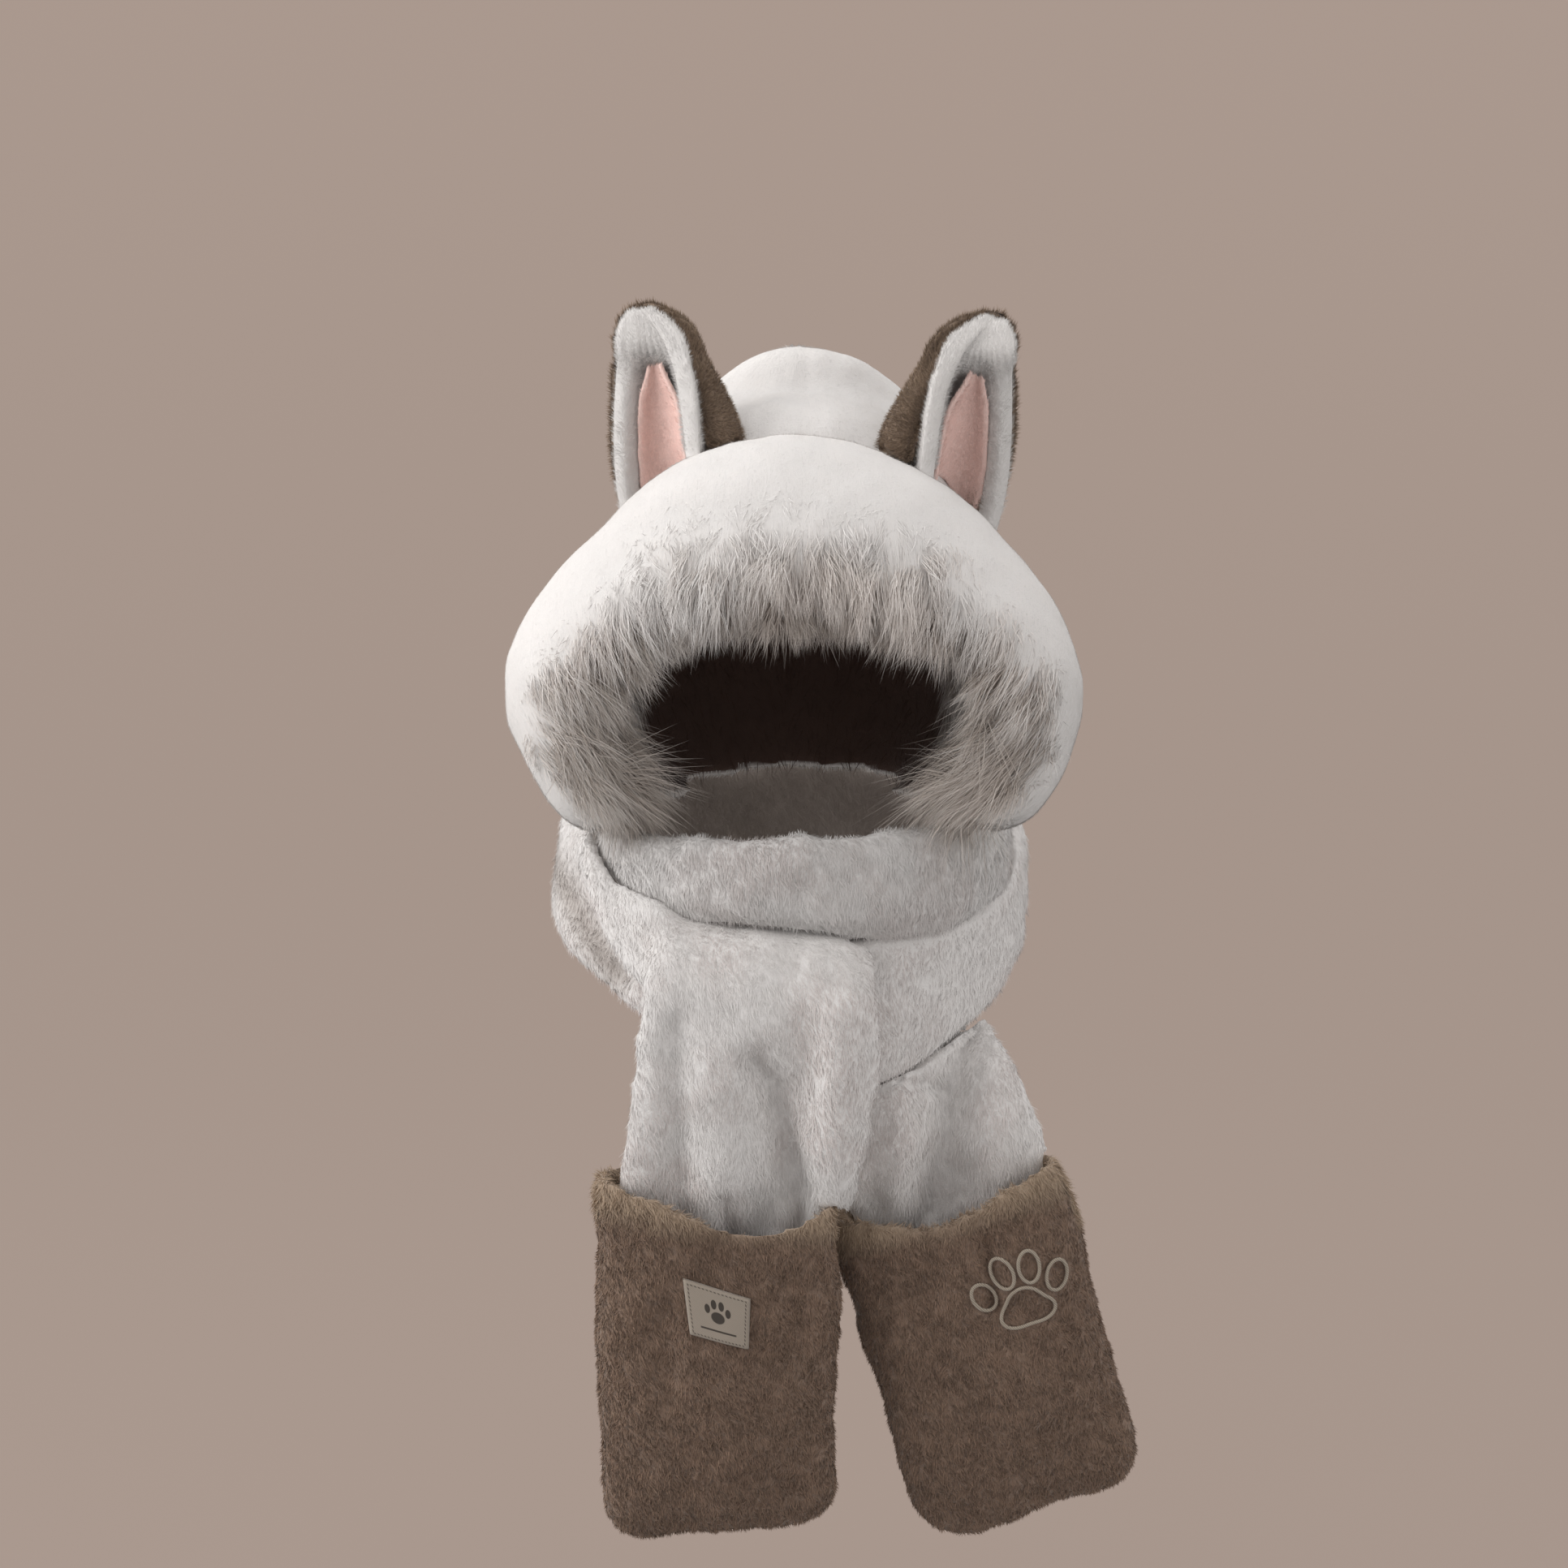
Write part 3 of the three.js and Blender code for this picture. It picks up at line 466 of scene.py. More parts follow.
def blade(name, bends):
    """One flat hair of unit length and width along Z, tapered to a point: a bare triangle with 1 bend."""
    form = bmesh.new()
    base = [form.verts.new((-0.5, 0, 0)), form.verts.new((0.5, 0, 0))]
    edges = [form.edges.new(base)]
    for i in range(bends - 1):
        grown = bmesh.ops.extrude_edge_only(form, edges=edges)["geom"]
        corners = [g for g in grown if isinstance(g, bmesh.types.BMVert)]
        edges = [g for g in grown if isinstance(g, bmesh.types.BMEdge)]
        bmesh.ops.translate(form, verts=corners, vec=(0, 0, 1 / bends))
        wide = 1 - 0.75 * ((i + 1) / bends) ** 1.5
        for corner in corners:
            corner.co.x = math.copysign(0.5 * wide, corner.co.x)
    tip = form.verts.new((0, 0, 1))
    form.faces.new((*edges[0].verts, tip))
    bmesh.ops.recalc_face_normals(form, faces=form.faces)
    return bpy.data.objects.new(name, mesh_of(name, form))


class Fur(NamedTuple):
    """How one kind of pile grows."""

    density: float  # hairs to a square metre
    width: float = 0.0006  # a hair's width in metres
    bends: int = 1  # straight lengths in a hair
    stand: float = 0.4  # how far hairs stand up from the cloth
    mess: float = 0.3  # how far they stray from the brushed way
    sag: float = 0.1  # how far their tips hang
    tuft: float = 0.008  # from one tuft to the next in metres
    gather: float = 0.2  # how far a tuft's tips draw together
    curl: float = 0.2  # how far a hair bends sideways
    lean: float = 0.1  # how far each tuft leans its own way
    twist: float = 0.3  # how far a hair turns its flat side


def grow_tree(name, fur, hair, seed):
    """The geometry nodes that grow a pile over a cloth piece.

    The cloth carries fur_share, how thick it grows, fur_length and fur_lay, the way that it is brushed.
    """
    tree = bpy.data.node_groups.new(name, "GeometryNodeTree")
    tree.interface.new_socket("Geometry", in_out="INPUT", socket_type="NodeSocketGeometry")
    tree.interface.new_socket("Geometry", in_out="OUTPUT", socket_type="NodeSocketGeometry")
    net = Net(tree)
    cloth = net.add("NodeGroupInput")
    thick = net.carried("fur_share") * fur.density
    scatter = "GeometryNodeDistributePointsOnFaces"
    roots = net.add(scatter, {}, {"Mesh": cloth, "Density": thick, "Seed": seed})
    normal = roots.other("Normal")
    tufts = net.add(scatter, {}, {"Mesh": cloth, "Density": 1 / fur.tuft**2, "Seed": seed + 50})
    place = net.add("GeometryNodeInputPosition")
    nearest = net.add("GeometryNodeSampleNearest", {}, {"Geometry": tufts, "Sample Position": place})
    kind = {"data_type": "FLOAT_VECTOR"}
    middle = net.add("GeometryNodeSampleIndex", kind, {"Geometry": tufts, "Value": place, "Index": nearest})

    brushed = net.carried("fur_lay", "FLOAT_VECTOR")
    brushed = brushed - normal * normal.dot(brushed)
    whorl = net.noise(place, 1 / (3.2 * fur.tuft), out="Color") - 0.5
    stray = net.random((-1.0, -1.0, -1.0), (1.0, 1.0, 1.0), seed + 1)
    side = net.random((-1.0, -1.0, -1.0), (1.0, 1.0, 1.0), seed + 5)
    leaning = net.add("GeometryNodeSampleIndex", kind, {"Geometry": tufts, "Value": side, "Index": nearest})
    rise = normal * fur.stand + brushed + whorl * (2 * fur.mess) + stray * (0.5 * fur.mess)
    rise = (rise + leaning * fur.lean).unit()
    long = net.carried("fur_length") * net.random(0.62, 1.12, seed + 2)
    long = long * (leaning.part("Z") * fur.lean * 0.5 + 1)
    bend = (brushed * 0.5 - normal * (0.35 * fur.stand) + stray.cross(rise) * fur.curl) * long
    droop = net.add("ShaderNodeCombineXYZ", {}, (0, 0, -fur.sag)) * long
    fall = bend + (middle - place) * fur.gather + droop
    turn = net.random((-1.0, -1.0, -1.0), (1.0, 1.0, 1.0), seed + 3)
    wide = rise.cross(normal + turn * fur.twist).unit() * fur.width

    points = roots
    for title, value in (("root", place), ("rise", rise * long), ("fall", fall), ("wide", wide)):
        points = net.store(points, title, value, "FLOAT_VECTOR")
    points = net.store(points, "cloth_normal", normal, "FLOAT_VECTOR")
    points = net.store(points, "hair", net.random(0.0, 1.0, seed + 4))
    shape = net.add("GeometryNodeObjectInfo", {}, {"Object": hair}, out="Geometry")
    hairs = net.add("GeometryNodeInstanceOnPoints", {}, {"Points": points, "Instance": shape})
    hairs = net.add("GeometryNodeRealizeInstances", {}, {"Geometry": hairs})
    root = net.carried("root", "FLOAT_VECTOR")
    local = net.add("GeometryNodeInputPosition") - root
    hairs = net.store(hairs, "tip", local.part("Z"))
    along = net.carried("tip")
    side = local.part("X")
    rise, fall, wide = (net.carried(title, "FLOAT_VECTOR") for title in ("rise", "fall", "wide"))
    spot = root + (rise * along + fall * (along * along)) + wide * side
    hairs = net.add("GeometryNodeSetPosition", {}, {"Geometry": hairs, "Position": spot})
    for title in ("root", "rise", "fall", "wide"):
        hairs = net.add("GeometryNodeRemoveAttribute", {}, {"Geometry": hairs, "Name": title})
    net.add("NodeGroupOutput", {}, (hairs,))
    return tree


def grow(cloth, name, fur, seed, share, long, lay, material, nodes=(), shadows=True):
    """Grows a pile on a cloth piece: share, long and lay say how thick, long and which way at each point."""
    mesh = cloth.data.copy()
    places, _ = points_of(mesh)
    count = len(places)
    carry(mesh, "fur_share", np.broadcast_to(share, count).copy())
    carry(mesh, "fur_length", np.broadcast_to(long, count).copy())
    carry(mesh, "fur_lay", np.broadcast_to(lay, (count, 3)).copy())
    piece = link(name, mesh)
    hair = blade(name + "_hair", fur.bends)
    modify(piece, "Pile", "NODES", node_group=grow_tree(name + "_pile", fur, hair, seed))
    settle(piece)
    if not piece.data.polygons:
        raise RuntimeError(f"no pile grew on {cloth.name}")
    for title in ("fur_share", "fur_length", "fur_lay"):
        layer = piece.data.attributes.get(title)
        if layer:
            piece.data.attributes.remove(layer)
    bpy.data.objects.remove(hair)
    piece.data.materials.clear()
    piece.data.materials.append(material)
    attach(piece, "root")
    if nodes:
        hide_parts(*nodes)
    piece.visible_shadow = shadows
    return piece


def plush(density):
    """Short white plush that lies smoothly."""
    return Fur(density, width=0.0007, stand=0.1, mess=0.08, curl=0.06, lean=0.03, twist=0.1, gather=0.05)


def fluff(density):
    """Short plush that lies every way, in small tufts."""
    return Fur(density, stand=0.3, mess=0.3, curl=0.2, lean=0.2, twist=0.25, gather=0.25, tuft=0.006)


# Finishes


def pile_finish(
    name, root, tip, uneven, dark=0.3, crisp=0.3, patch=None, frost=None, deep=None, wide=11.0, speck=110.0,
    fade=True,
):
    """The finish of loose hairs, each a little different.

    Dark is the share of a hair that keeps the root's colour, and crisp how far a hair shades by itself and
    not as part of the cloth. A patch is a colour in cloudy places, wide of them to a metre. Frost is the
    colour of streaks, speck of them to a metre, which fade where the cloth has no shade. Deep is painted
    light: the colour of the pile where the cloth carries full shade, painted shade inside the hood, the brim
    and the loop, and a painted highlight at the pockets' mouths.
    """
    material, net, shader = finish_of(
        name, Roughness=0.8, Specular_IOR_Level=0.15, Sheen_Weight=0.25, Sheen_Roughness=0.5
    )
    along, hair, shade = (net.attribute(title) for title in ("tip", "hair", "shade"))
    place = net.place()
    pale = net.blend(tip, toned(tip, 1 - uneven), (hair * 0.6 + net.noise(place, 45.0)).between(0.5, 1.2))
    if frost:
        streaks = (hair + net.noise(place, speck) * 0.9).between(0.7, 1.15)
        if fade:
            streaks = streaks * shade.between(-0.02, 0.12)
        pale = net.blend(pale, frost, streaks * (1.25 - along))
    if patch:
        pale = net.blend(pale, patch, net.noise(place, wide, 3.0).between(0.42, 0.66) * 0.6)
    # Where the cloth carries shade, the roots show and the pile turns to deep: painted light
    low = net.blend(pale, root, shade.between(0.0, 0.45)) if deep else root
    tone = net.blend(low, pale, along.between(dark - 0.5, dark + 0.5))
    if deep:
        tone = net.blend(tone, deep, shade)
    surface = net.add("ShaderNodeNewGeometry", out="Normal")
    cloth = net.attribute("cloth_normal", out="Vector")
    feed(net, shader, Base_Color=tone, Normal=(surface + cloth * (1 - crisp)).unit())
    return material


def smooth_white(name):
    """The finish of smooth white pile."""
    white = settings()[1].white
    return pile_finish(name, white, white, 0.03, crisp=0.15, patch=(0.8, 0.77, 0.75))


def ground_finish(name, tone, deep, lump=90.0, strength=0.5, lining=None):
    """The finish of the cloth under the pile: tufts, darker between them, and painted light where it carries
    shade.
    """
    material, net, shader = finish_of(
        name, Roughness=0.92, Specular_IOR_Level=0.15, Sheen_Weight=0.35, Sheen_Roughness=0.6
    )
    place = net.place()
    tufts = net.noise(place, lump, 4.0, 0.65, 0.4)
    hairs = net.noise(place, 9 * lump, 2.0, 0.6)
    mixed = net.blend(deep, tone, (tufts * 0.7 + hairs * 0.3).between(0.3, 0.62))
    # Painted light: where the cloth carries shade it turns to the lining colour, painted shade inside the
    # hood, brim and loop and a painted highlight at the pockets' mouths
    if lining:
        mixed = net.blend(mixed, lining, net.attribute("shade"))
    feed(net, shader, Base_Color=mixed, Normal=net.bump(strength, 0.004, tufts * 0.75 + hairs * 0.25))
    return material


# The hood


HOOD_FOLDS = [
    # a line of (x, z) corners, its width and its depth, and less than 0 deep for a ridge
    ([(0.01, 0.02), (0.012, -0.03), (0.008, -0.05)], 0.004, 0.0025),
    ([(-0.07, -0.012), (-0.02, 0.002), (0.05, 0.0), (0.095, -0.02)], 0.013, 0.007),
    ([(-0.05, 0.012), (-0.01, 0.022), (0.03, 0.02), (0.07, 0.008)], 0.009, -0.003),
    ([(-0.06, -0.03), (-0.01, -0.018), (0.04, -0.02), (0.085, -0.036)], 0.012, -0.004),
]
HEAD = ((0.0, -0.03, -0.17), (0.13, 0.1, 0.15))  # the middle and half sizes of what the hood surrounds
CROWN = (0.003, 0.02, 0.0)  # where the hood's pile is brushed away from
BRIM_RAISED = 0.014  # how far the edge over the face opening is raised
BRIM_SWELLS = (
    # a spot, and how far and how much the cloth swells round it
    ((0.105, -0.19, -0.268), 0.04, 0.013),
    ((-0.1, -0.19, -0.27), 0.035, 0.004),
)


def from_opening(places):
    """For each point, how far it is from the face opening, and the ways out from it and down round it."""
    x = places[:, 0] - OPENING.x
    z = places[:, 2] - OPENING.z
    reach = np.hypot(x, z) + 1e-6
    rim = np.hypot(x / OPENING_HALF[0], z / OPENING_HALF[1]) + 1e-6
    away = np.stack([x / reach, np.zeros_like(x), z / reach], axis=1)
    side = np.tanh(x / 0.03)
    round_ = np.stack([side * away[:, 2], np.zeros_like(x), -np.abs(away[:, 0])], axis=1)
    return reach * (1 - 1 / rim), away, round_


class HOODSCARF_OT_hood(bpy.types.Operator):
    """Make the padded hood with its plush, the painted shade inside it and the fur inside the cheeks"""

    bl_idname = "hood_scarf.hood"
    bl_label = "Hood"

    def execute(self, context):
        cloth, tones = settings()
        hood = soften("hood", ["hood_shell"], 0.0055, 6)
        press(hood, HOOD_FOLDS)
        ruffle(hood, 0.05, 0.003, 3)
        places, normals = points_of(hood.data)
        inward = turned_in(places, normals, *HEAD)
        cheek = step(0.03, -0.06, places[:, 1])
        # Painted shade: the inward-facing inside of the hood turns to the lining colour, less so in the
        # cheeks
        carry(hood.data, "shade", inward * (1 - 0.9 * cheek))
        tone = ground_finish("plush_ground", tones.white, tones.white_base, lining=tones.lining)
        hood.data.materials.append(tone)
        free = bare(places, ["fur_brim", "chin_band", "neck_loop"])
        white = smooth_white("white_pile")
        lay = places - np.array(CROWN)
        lay *= 0.7 / np.linalg.norm(lay, axis=1)[:, None]
        lay[:, 2] -= 0.35
        share = (1 - inward) * free
        long = cloth.plush_pile
        grow(hood, "hood_pile", plush(450000), 11, share, long, lay, white, shadows=False)
        # The cheek fur takes the same painted shade where the hood turns inward
        grey = pile_finish(
            "cheek_fur", tones.frost_root_and_shade, tones.frost_tip, 0.3, 0.5, 0.7,
            patch=(0.5, 0.43, 0.38), frost=(0.4, 0.34, 0.3), deep=tones.lining,
        )
        lay = np.array([0.0, -0.5, -0.8]) - np.sign(places[:, :1]) * np.array([0.3, 0.0, 0.0])
        fur = Fur(220000, bends=2, stand=0.7, mess=0.5, sag=0.2, tuft=0.011, gather=0.5, lean=0.4, twist=0.9)
        long = cloth.brim_fur * (0.35 + 0.45 * cheek)
        share = inward * free * (0.15 + 0.85 * cheek)
        grow(hood, "cheek_fur", fur, 15, share, long, lay, grey)
        cushion(hood, ["hood_shell"])
        return {"FINISHED"}


class HOODSCARF_OT_brim(bpy.types.Operator):
    """Make the fur brim: a padded band with white pile above and long frosted fur round the face"""

    bl_idname = "hood_scarf.brim"
    bl_label = "Fur Brim"

    def execute(self, context):
        cloth, tones = settings()
        brim = soften("brim", ["fur_brim"], 0.005, 8, levels=2)
        ruffle(brim, 0.06, 0.003, 5)
        places, _ = points_of(brim.data)
        distance, _, _ = from_opening(places)
        upper = step(-0.21, -0.17, places[:, 2])
        places[:, 2] += BRIM_RAISED * upper * (1 - step(0.0, 0.045, distance))
        place_points(brim.data, places)
        for spot, reach, amount in BRIM_SWELLS:
            swell(brim, spot, reach, amount)
        places, normals = points_of(brim.data)
        distance, away, round_ = from_opening(places)
        inner = step(0.0, 0.6, -np.einsum("ij,ij->i", normals, away))
        wavy = np.array([noise.noise(Vector(p) / 0.025) for p in places]) * 0.012
        crest = step(0.3, 0.9, away[:, 2])
        frost = np.maximum(1 - step(0.024, 0.054 + 0.03 * crest, distance + wavy), inner)
        # Painted shade, partly the fur's own darker roots: the band is painted darker lower down and on its
        # inner walls
        low = step(-0.15, -0.24, places[:, 2])
        carry(brim.data, "shade", frost**2 * (0.06 + 0.34 * low + 0.45 * inner * (1 - 0.4 * low)))
        tone = ground_finish("frost_ground", tones.white, tones.white_base, lining=tones.frost_root_and_shade)
        brim.data.materials.append(tone)
        down = np.array([0.0, 0.0, -1.0])
        lay = (round_ * 0.5 - away * 0.8 + down * 0.3) * (frost * (1.8 - 0.8 * frost))[:, None]
        lay += np.array([0.0, -0.6, -0.45]) * (1 - frost)[:, None]
        edge = 1 - step(0.0, 0.04, distance)
        wall = edge * step(-0.2, -0.24, places[:, 2])
        right = step(0.02, 0.06, places[:, 0])
        long = 0.85 + edge * (0.3 - 0.25 * upper) + wall * (0.5 + 0.35 * right)
        long = cloth.brim_pile + frost * (cloth.brim_fur * long - cloth.brim_pile)
        free = bare(places, ["hood_shell", "chin_band"])
        # The frosted fur turns to the roots' colour where the brim carries shade: painted shade
        fur = pile_finish(
            "frosted_fur", tones.frost_root_and_shade, tones.frost_tip, 0.2, 0.45, 0.8,
            patch=(0.74, 0.67, 0.62), frost=(0.56, 0.49, 0.44), deep=tones.frost_root_and_shade,
        )
        habit = Fur(
            760000, bends=2, stand=0.5, mess=0.7, sag=0.2, tuft=0.013,
            gather=0.6, curl=0.4, lean=0.65, twist=0.9,
        )
        grow(brim, "brim_fur", habit, 21, frost * free, long, lay, fur, ["face_fringe"])
        white = smooth_white("brim_white")
        share = (1 - step(0.2, 0.9, frost)) * free
        grow(brim, "brim_pile", plush(550000), 31, share, long, lay, white, shadows=False)
        cushion(brim, ["fur_brim"])
        return {"FINISHED"}


def shape_ear(piece, side, draw, shrink=1.0):
    """Rounds the ear's tip, draws its foot towards the ear's outer edge and shrinks the piece."""
    places, _ = points_of(piece.data)
    low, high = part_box(f"ear_back_{side}")
    outer = low.x if side == "left" else high.x
    foot = step(high.z - 0.01, high.z - 0.09, places[:, 2])
    places[:, 0] = outer + (places[:, 0] - outer) * (1 - draw * foot)
    if draw:
        places[:, 2] -= 0.014 * step(high.z - 0.05, high.z - 0.1, places[:, 2])
    middle = places.mean(axis=0)
    middle[2] = places[:, 2].min()
    places[:, ::2] = middle[::2] + (places[:, ::2] - middle[::2]) * shrink
    tip = step(high.z - 0.04, high.z, places[:, 2])
    peak = np.array([corner.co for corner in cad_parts[f"ear_back_{side}"].data.vertices])
    peak = peak[peak[:, 2] > high.z - 0.03].mean(axis=0)
    places[:, 0] += (places[:, 0] - peak[0]) * 0.38 * tip
    places[:, 2] -= 0.002 * tip
    place_points(piece.data, places)


def fill_tip(piece):
    """Fills the fold at the ear's tip, so that the plush is full there."""
    places, normals = points_of(piece.data)
    high = places[:, 2].max()
    row = np.floor((high - places[:, 2]) / 0.004).astype(int)
    front = np.full(row.max() + 1, places[:, 1].max())
    np.minimum.at(front, row, places[:, 1])
    much = step(high - 0.038, high - 0.022, places[:, 2]) * step(-0.1, 0.2, -normals[:, 1])
    places[:, 1] += (front[row] + 0.003 - places[:, 1]) * 0.75 * much
    place_points(piece.data, places)
    modify(piece, "Ease", "SMOOTH", iterations=6)
    settle(piece)


def narrow_top(piece):
    """Brings the piece's upper end to a soft point."""
    places, _ = points_of(piece.data)
    high = places[:, 2].max()
    peak = places[places[:, 2] > high - 0.006].mean(axis=0)
    places[:, 0] += (peak[0] - places[:, 0]) * 0.3 * step(high - 0.024, high, places[:, 2])
    place_points(piece.data, places)


class HOODSCARF_OT_ears(bpy.types.Operator):
    """Make the two ears, each a brown back, a white cup and a pink inset"""

    bl_idname = "hood_scarf.ears"
    bl_label = "Ears"

    def execute(self, context):
        cloth, tones = settings()
        back_ground = ground_finish("ear_ground", tones.ear_brown, tones.brown_base, 160.0)
        cup_ground = ground_finish("ear_white_ground", tones.white, tones.white_base)
        pink_deep = toned(tones.pink, 0.85)
        pink_ground = ground_finish("pink_ground", tones.pink, pink_deep, 260.0, 0.3)
        back_pile = pile_finish("ear_brown_pile", tones.brown_base, tones.ear_brown, 0.4, crisp=0.6)
        cup_pile = pile_finish("ear_white_pile", tones.white, tones.white, 0.06)
        pink_pile = pile_finish("pink_pile", pink_deep, tones.pink, 0.1)
        back_fur = Fur(1300000, 0.0005, tuft=0.004, mess=0.5, twist=0.9)
        cup_fur = Fur(1300000, 0.0005, tuft=0.005, twist=0.2)
        pink_fur = Fur(1800000, 0.0005, tuft=0.003)
        up = np.array([0.0, -0.1, 0.5])
        for seed, side in enumerate(("left", "right")):
            back = soften(f"ear_back_{side}_cloth", [f"ear_back_{side}", f"ear_lining_{side}"], 0.003, 5)
            cup = soften(f"ear_cup_{side}", [f"ear_lining_{side}"], 0, 24, levels=2)
            inset = soften(f"ear_pink_{side}", [f"ear_inset_{side}"], 0, 2, levels=2)
            for piece, ground in ((back, back_ground), (cup, cup_ground), (inset, pink_ground)):
                piece.data.materials.append(ground)
            places, normals = points_of(back.data)
            front = step(0.0, 0.5, -normals[:, 1])
            places += normals * (0.0026 * (1 - front))[:, None] + front[:, None] * (0, 0.006, 0)
            place_points(back.data, places)
            shape_ear(back, side, 0.0)
            shape_ear(cup, side, 0.2)
            fill_tip(cup)
            shape_ear(inset, side, 0.2, 0.84)
            narrow_top(inset)
            for piece, proud in ((cup, 0.0016), (inset, 0.0026)):
                places, normals = points_of(piece.data)
                place_points(piece.data, places + normals * 0.001 - np.array([0.0, proud, 0.0]))
            PIECES[inset.name] = inset
            _, normals = points_of(inset.data)
            front = step(0.0, 0.4, -normals[:, 1])
            grow(
                inset, f"ear_pink_pile_{side}", pink_fur, 61 + seed, front, cloth.inset_pile, up,
                pink_pile, shadows=False,
            )
            places, _ = points_of(back.data)
            free = bare(places, ["hood_shell", "fur_brim"], 0.002)
            outward = places - np.array(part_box(f"ear_back_{side}")).mean(axis=0)
            outward[:, 1] *= 0.3
            outward /= np.linalg.norm(outward, axis=1)[:, None]
            lay = outward * 0.5 + up * 0.5
            grow(
                back, f"ear_back_pile_{side}", back_fur, 41 + seed, free, cloth.ear_pile, lay,
                back_pile,
            )
            places, normals = points_of(cup.data)
            free = bare(places, [inset.name, "hood_shell", "fur_brim"], 0.002) * (normals[:, 1] < 0.3)
            grow(
                cup, f"ear_cup_pile_{side}", cup_fur, 51 + seed, free, 0.9 * cloth.ear_pile, up * 0.6,
                cup_pile, shadows=False,
            )
            cushion(back, [f"ear_back_{side}"])
            cushion(cup, [f"ear_lining_{side}"])
            cushion(inset, [f"ear_inset_{side}"])
        return {"FINISHED"}


# The scarf


SCARF = {
    # piece: (solids, mesh grid and rounds, ruffle size and amount, hairs to a square metre, how white,
    # neighbours)
    "chin_roll": (
        ["chin_band"],
        # the chin roll's 0.86 white is partly painted shade, as under the brim
        0.0045, 8, 0.04, 0.004, 700000, 0.86,
        ["fur_brim", "neck_loop", "front_panel"],
    ),
    "neck_roll": (
        ["neck_loop"],
        0.0052, 7, 0.045, 0.004, 380000, 1.0,
        ["fur_brim", "chin_band", "front_panel"],
    ),
    "front_end": (
        ["side_fold", "front_panel"],
        0.0045, 6, 0.045, 0.0035, 500000, 1.0,
        ["neck_loop", "chin_band", "front_pocket"],
    ),
    "side_end": (
        ["side_panel"],
        0.0045, 6, 0.04, 0.003, 600000, 1.05,
        ["neck_loop", "front_panel", "side_pocket"],
    ),
}
SCARF_FOLDS = {
    # piece: (a line of (x, z) corners, width, depth), and less than 0 deep for a ridge
    "chin_roll": [
        ([(-0.09, -0.335), (-0.03, -0.345), (0.05, -0.352), (0.1, -0.345)], 0.006, 0.003),
    ],
    "neck_roll": [
        ([(-0.163, -0.335), (-0.145, -0.36), (-0.118, -0.39)], 0.012, 0.016),
    ],
    "front_end": [
        ([(-0.074, -0.405), (-0.073, -0.46), (-0.07, -0.555)], 0.008, 0.004),
        ([(-0.024, -0.43), (-0.01, -0.45), (-0.004, -0.48), (0.007, -0.55)], 0.01, 0.014),
        ([(-0.05, -0.45), (-0.045, -0.54)], 0.015, -0.004),
        ([(0.028, -0.4), (0.031, -0.53)], 0.014, -0.007),
        ([(-0.044, -0.525), (-0.04, -0.56)], 0.006, 0.006),
    ],
    "side_end": [
        ([(0.117, -0.425), (0.106, -0.47), (0.095, -0.55)], 0.01, 0.011),
        ([(0.14, -0.45), (0.135, -0.55)], 0.014, -0.005),
        ([(0.07, -0.475), (0.068, -0.55)], 0.012, -0.005),
        ([(0.042, -0.46), (0.07, -0.452), (0.1, -0.462)], 0.005, 0.006),
    ],
}
CREASE = (-0.07, -0.165, -0.344)  # where the chin roll and the front end press together
LOOP_HOLLOW = [(-0.168, -0.33), (-0.145, -0.36), (-0.118, -0.39)]  # where the loop's left turn is in shade
# painted shade: the colour that the inside of the loop and its hollow are painted
LOOP_PAINTED_SHADE = (0.36, 0.31, 0.275)  # the colour inside the loop
NECK = ((0.0, -0.045, -0.35), (0.14, 0.14, 10.0))  # the middle and half sizes of what the loop surrounds


def taper_ends(piece):
    """Thins the chin roll towards its two ends and tucks them in."""
    places, _ = points_of(piece.data)
    end = step(-0.12, places[:, 1].max(), places[:, 1])
    height = places[:, 2] - places[:, 2].mean()
    places[:, 2] -= 0.55 * height * end
    places[:, 0] *= 1 - 0.07 * end
    place_points(piece.data, places)


def round_shoulder(piece):
    """Draws in the loop's upper left corner."""
    places, _ = points_of(piece.data)
    high = step(-0.35, -0.305, places[:, 2]) * step(-0.03, -0.08, places[:, 1])
    places[:, 0] += 0.015 * high * step(-0.1, -0.17, places[:, 0])
    place_points(piece.data, places)


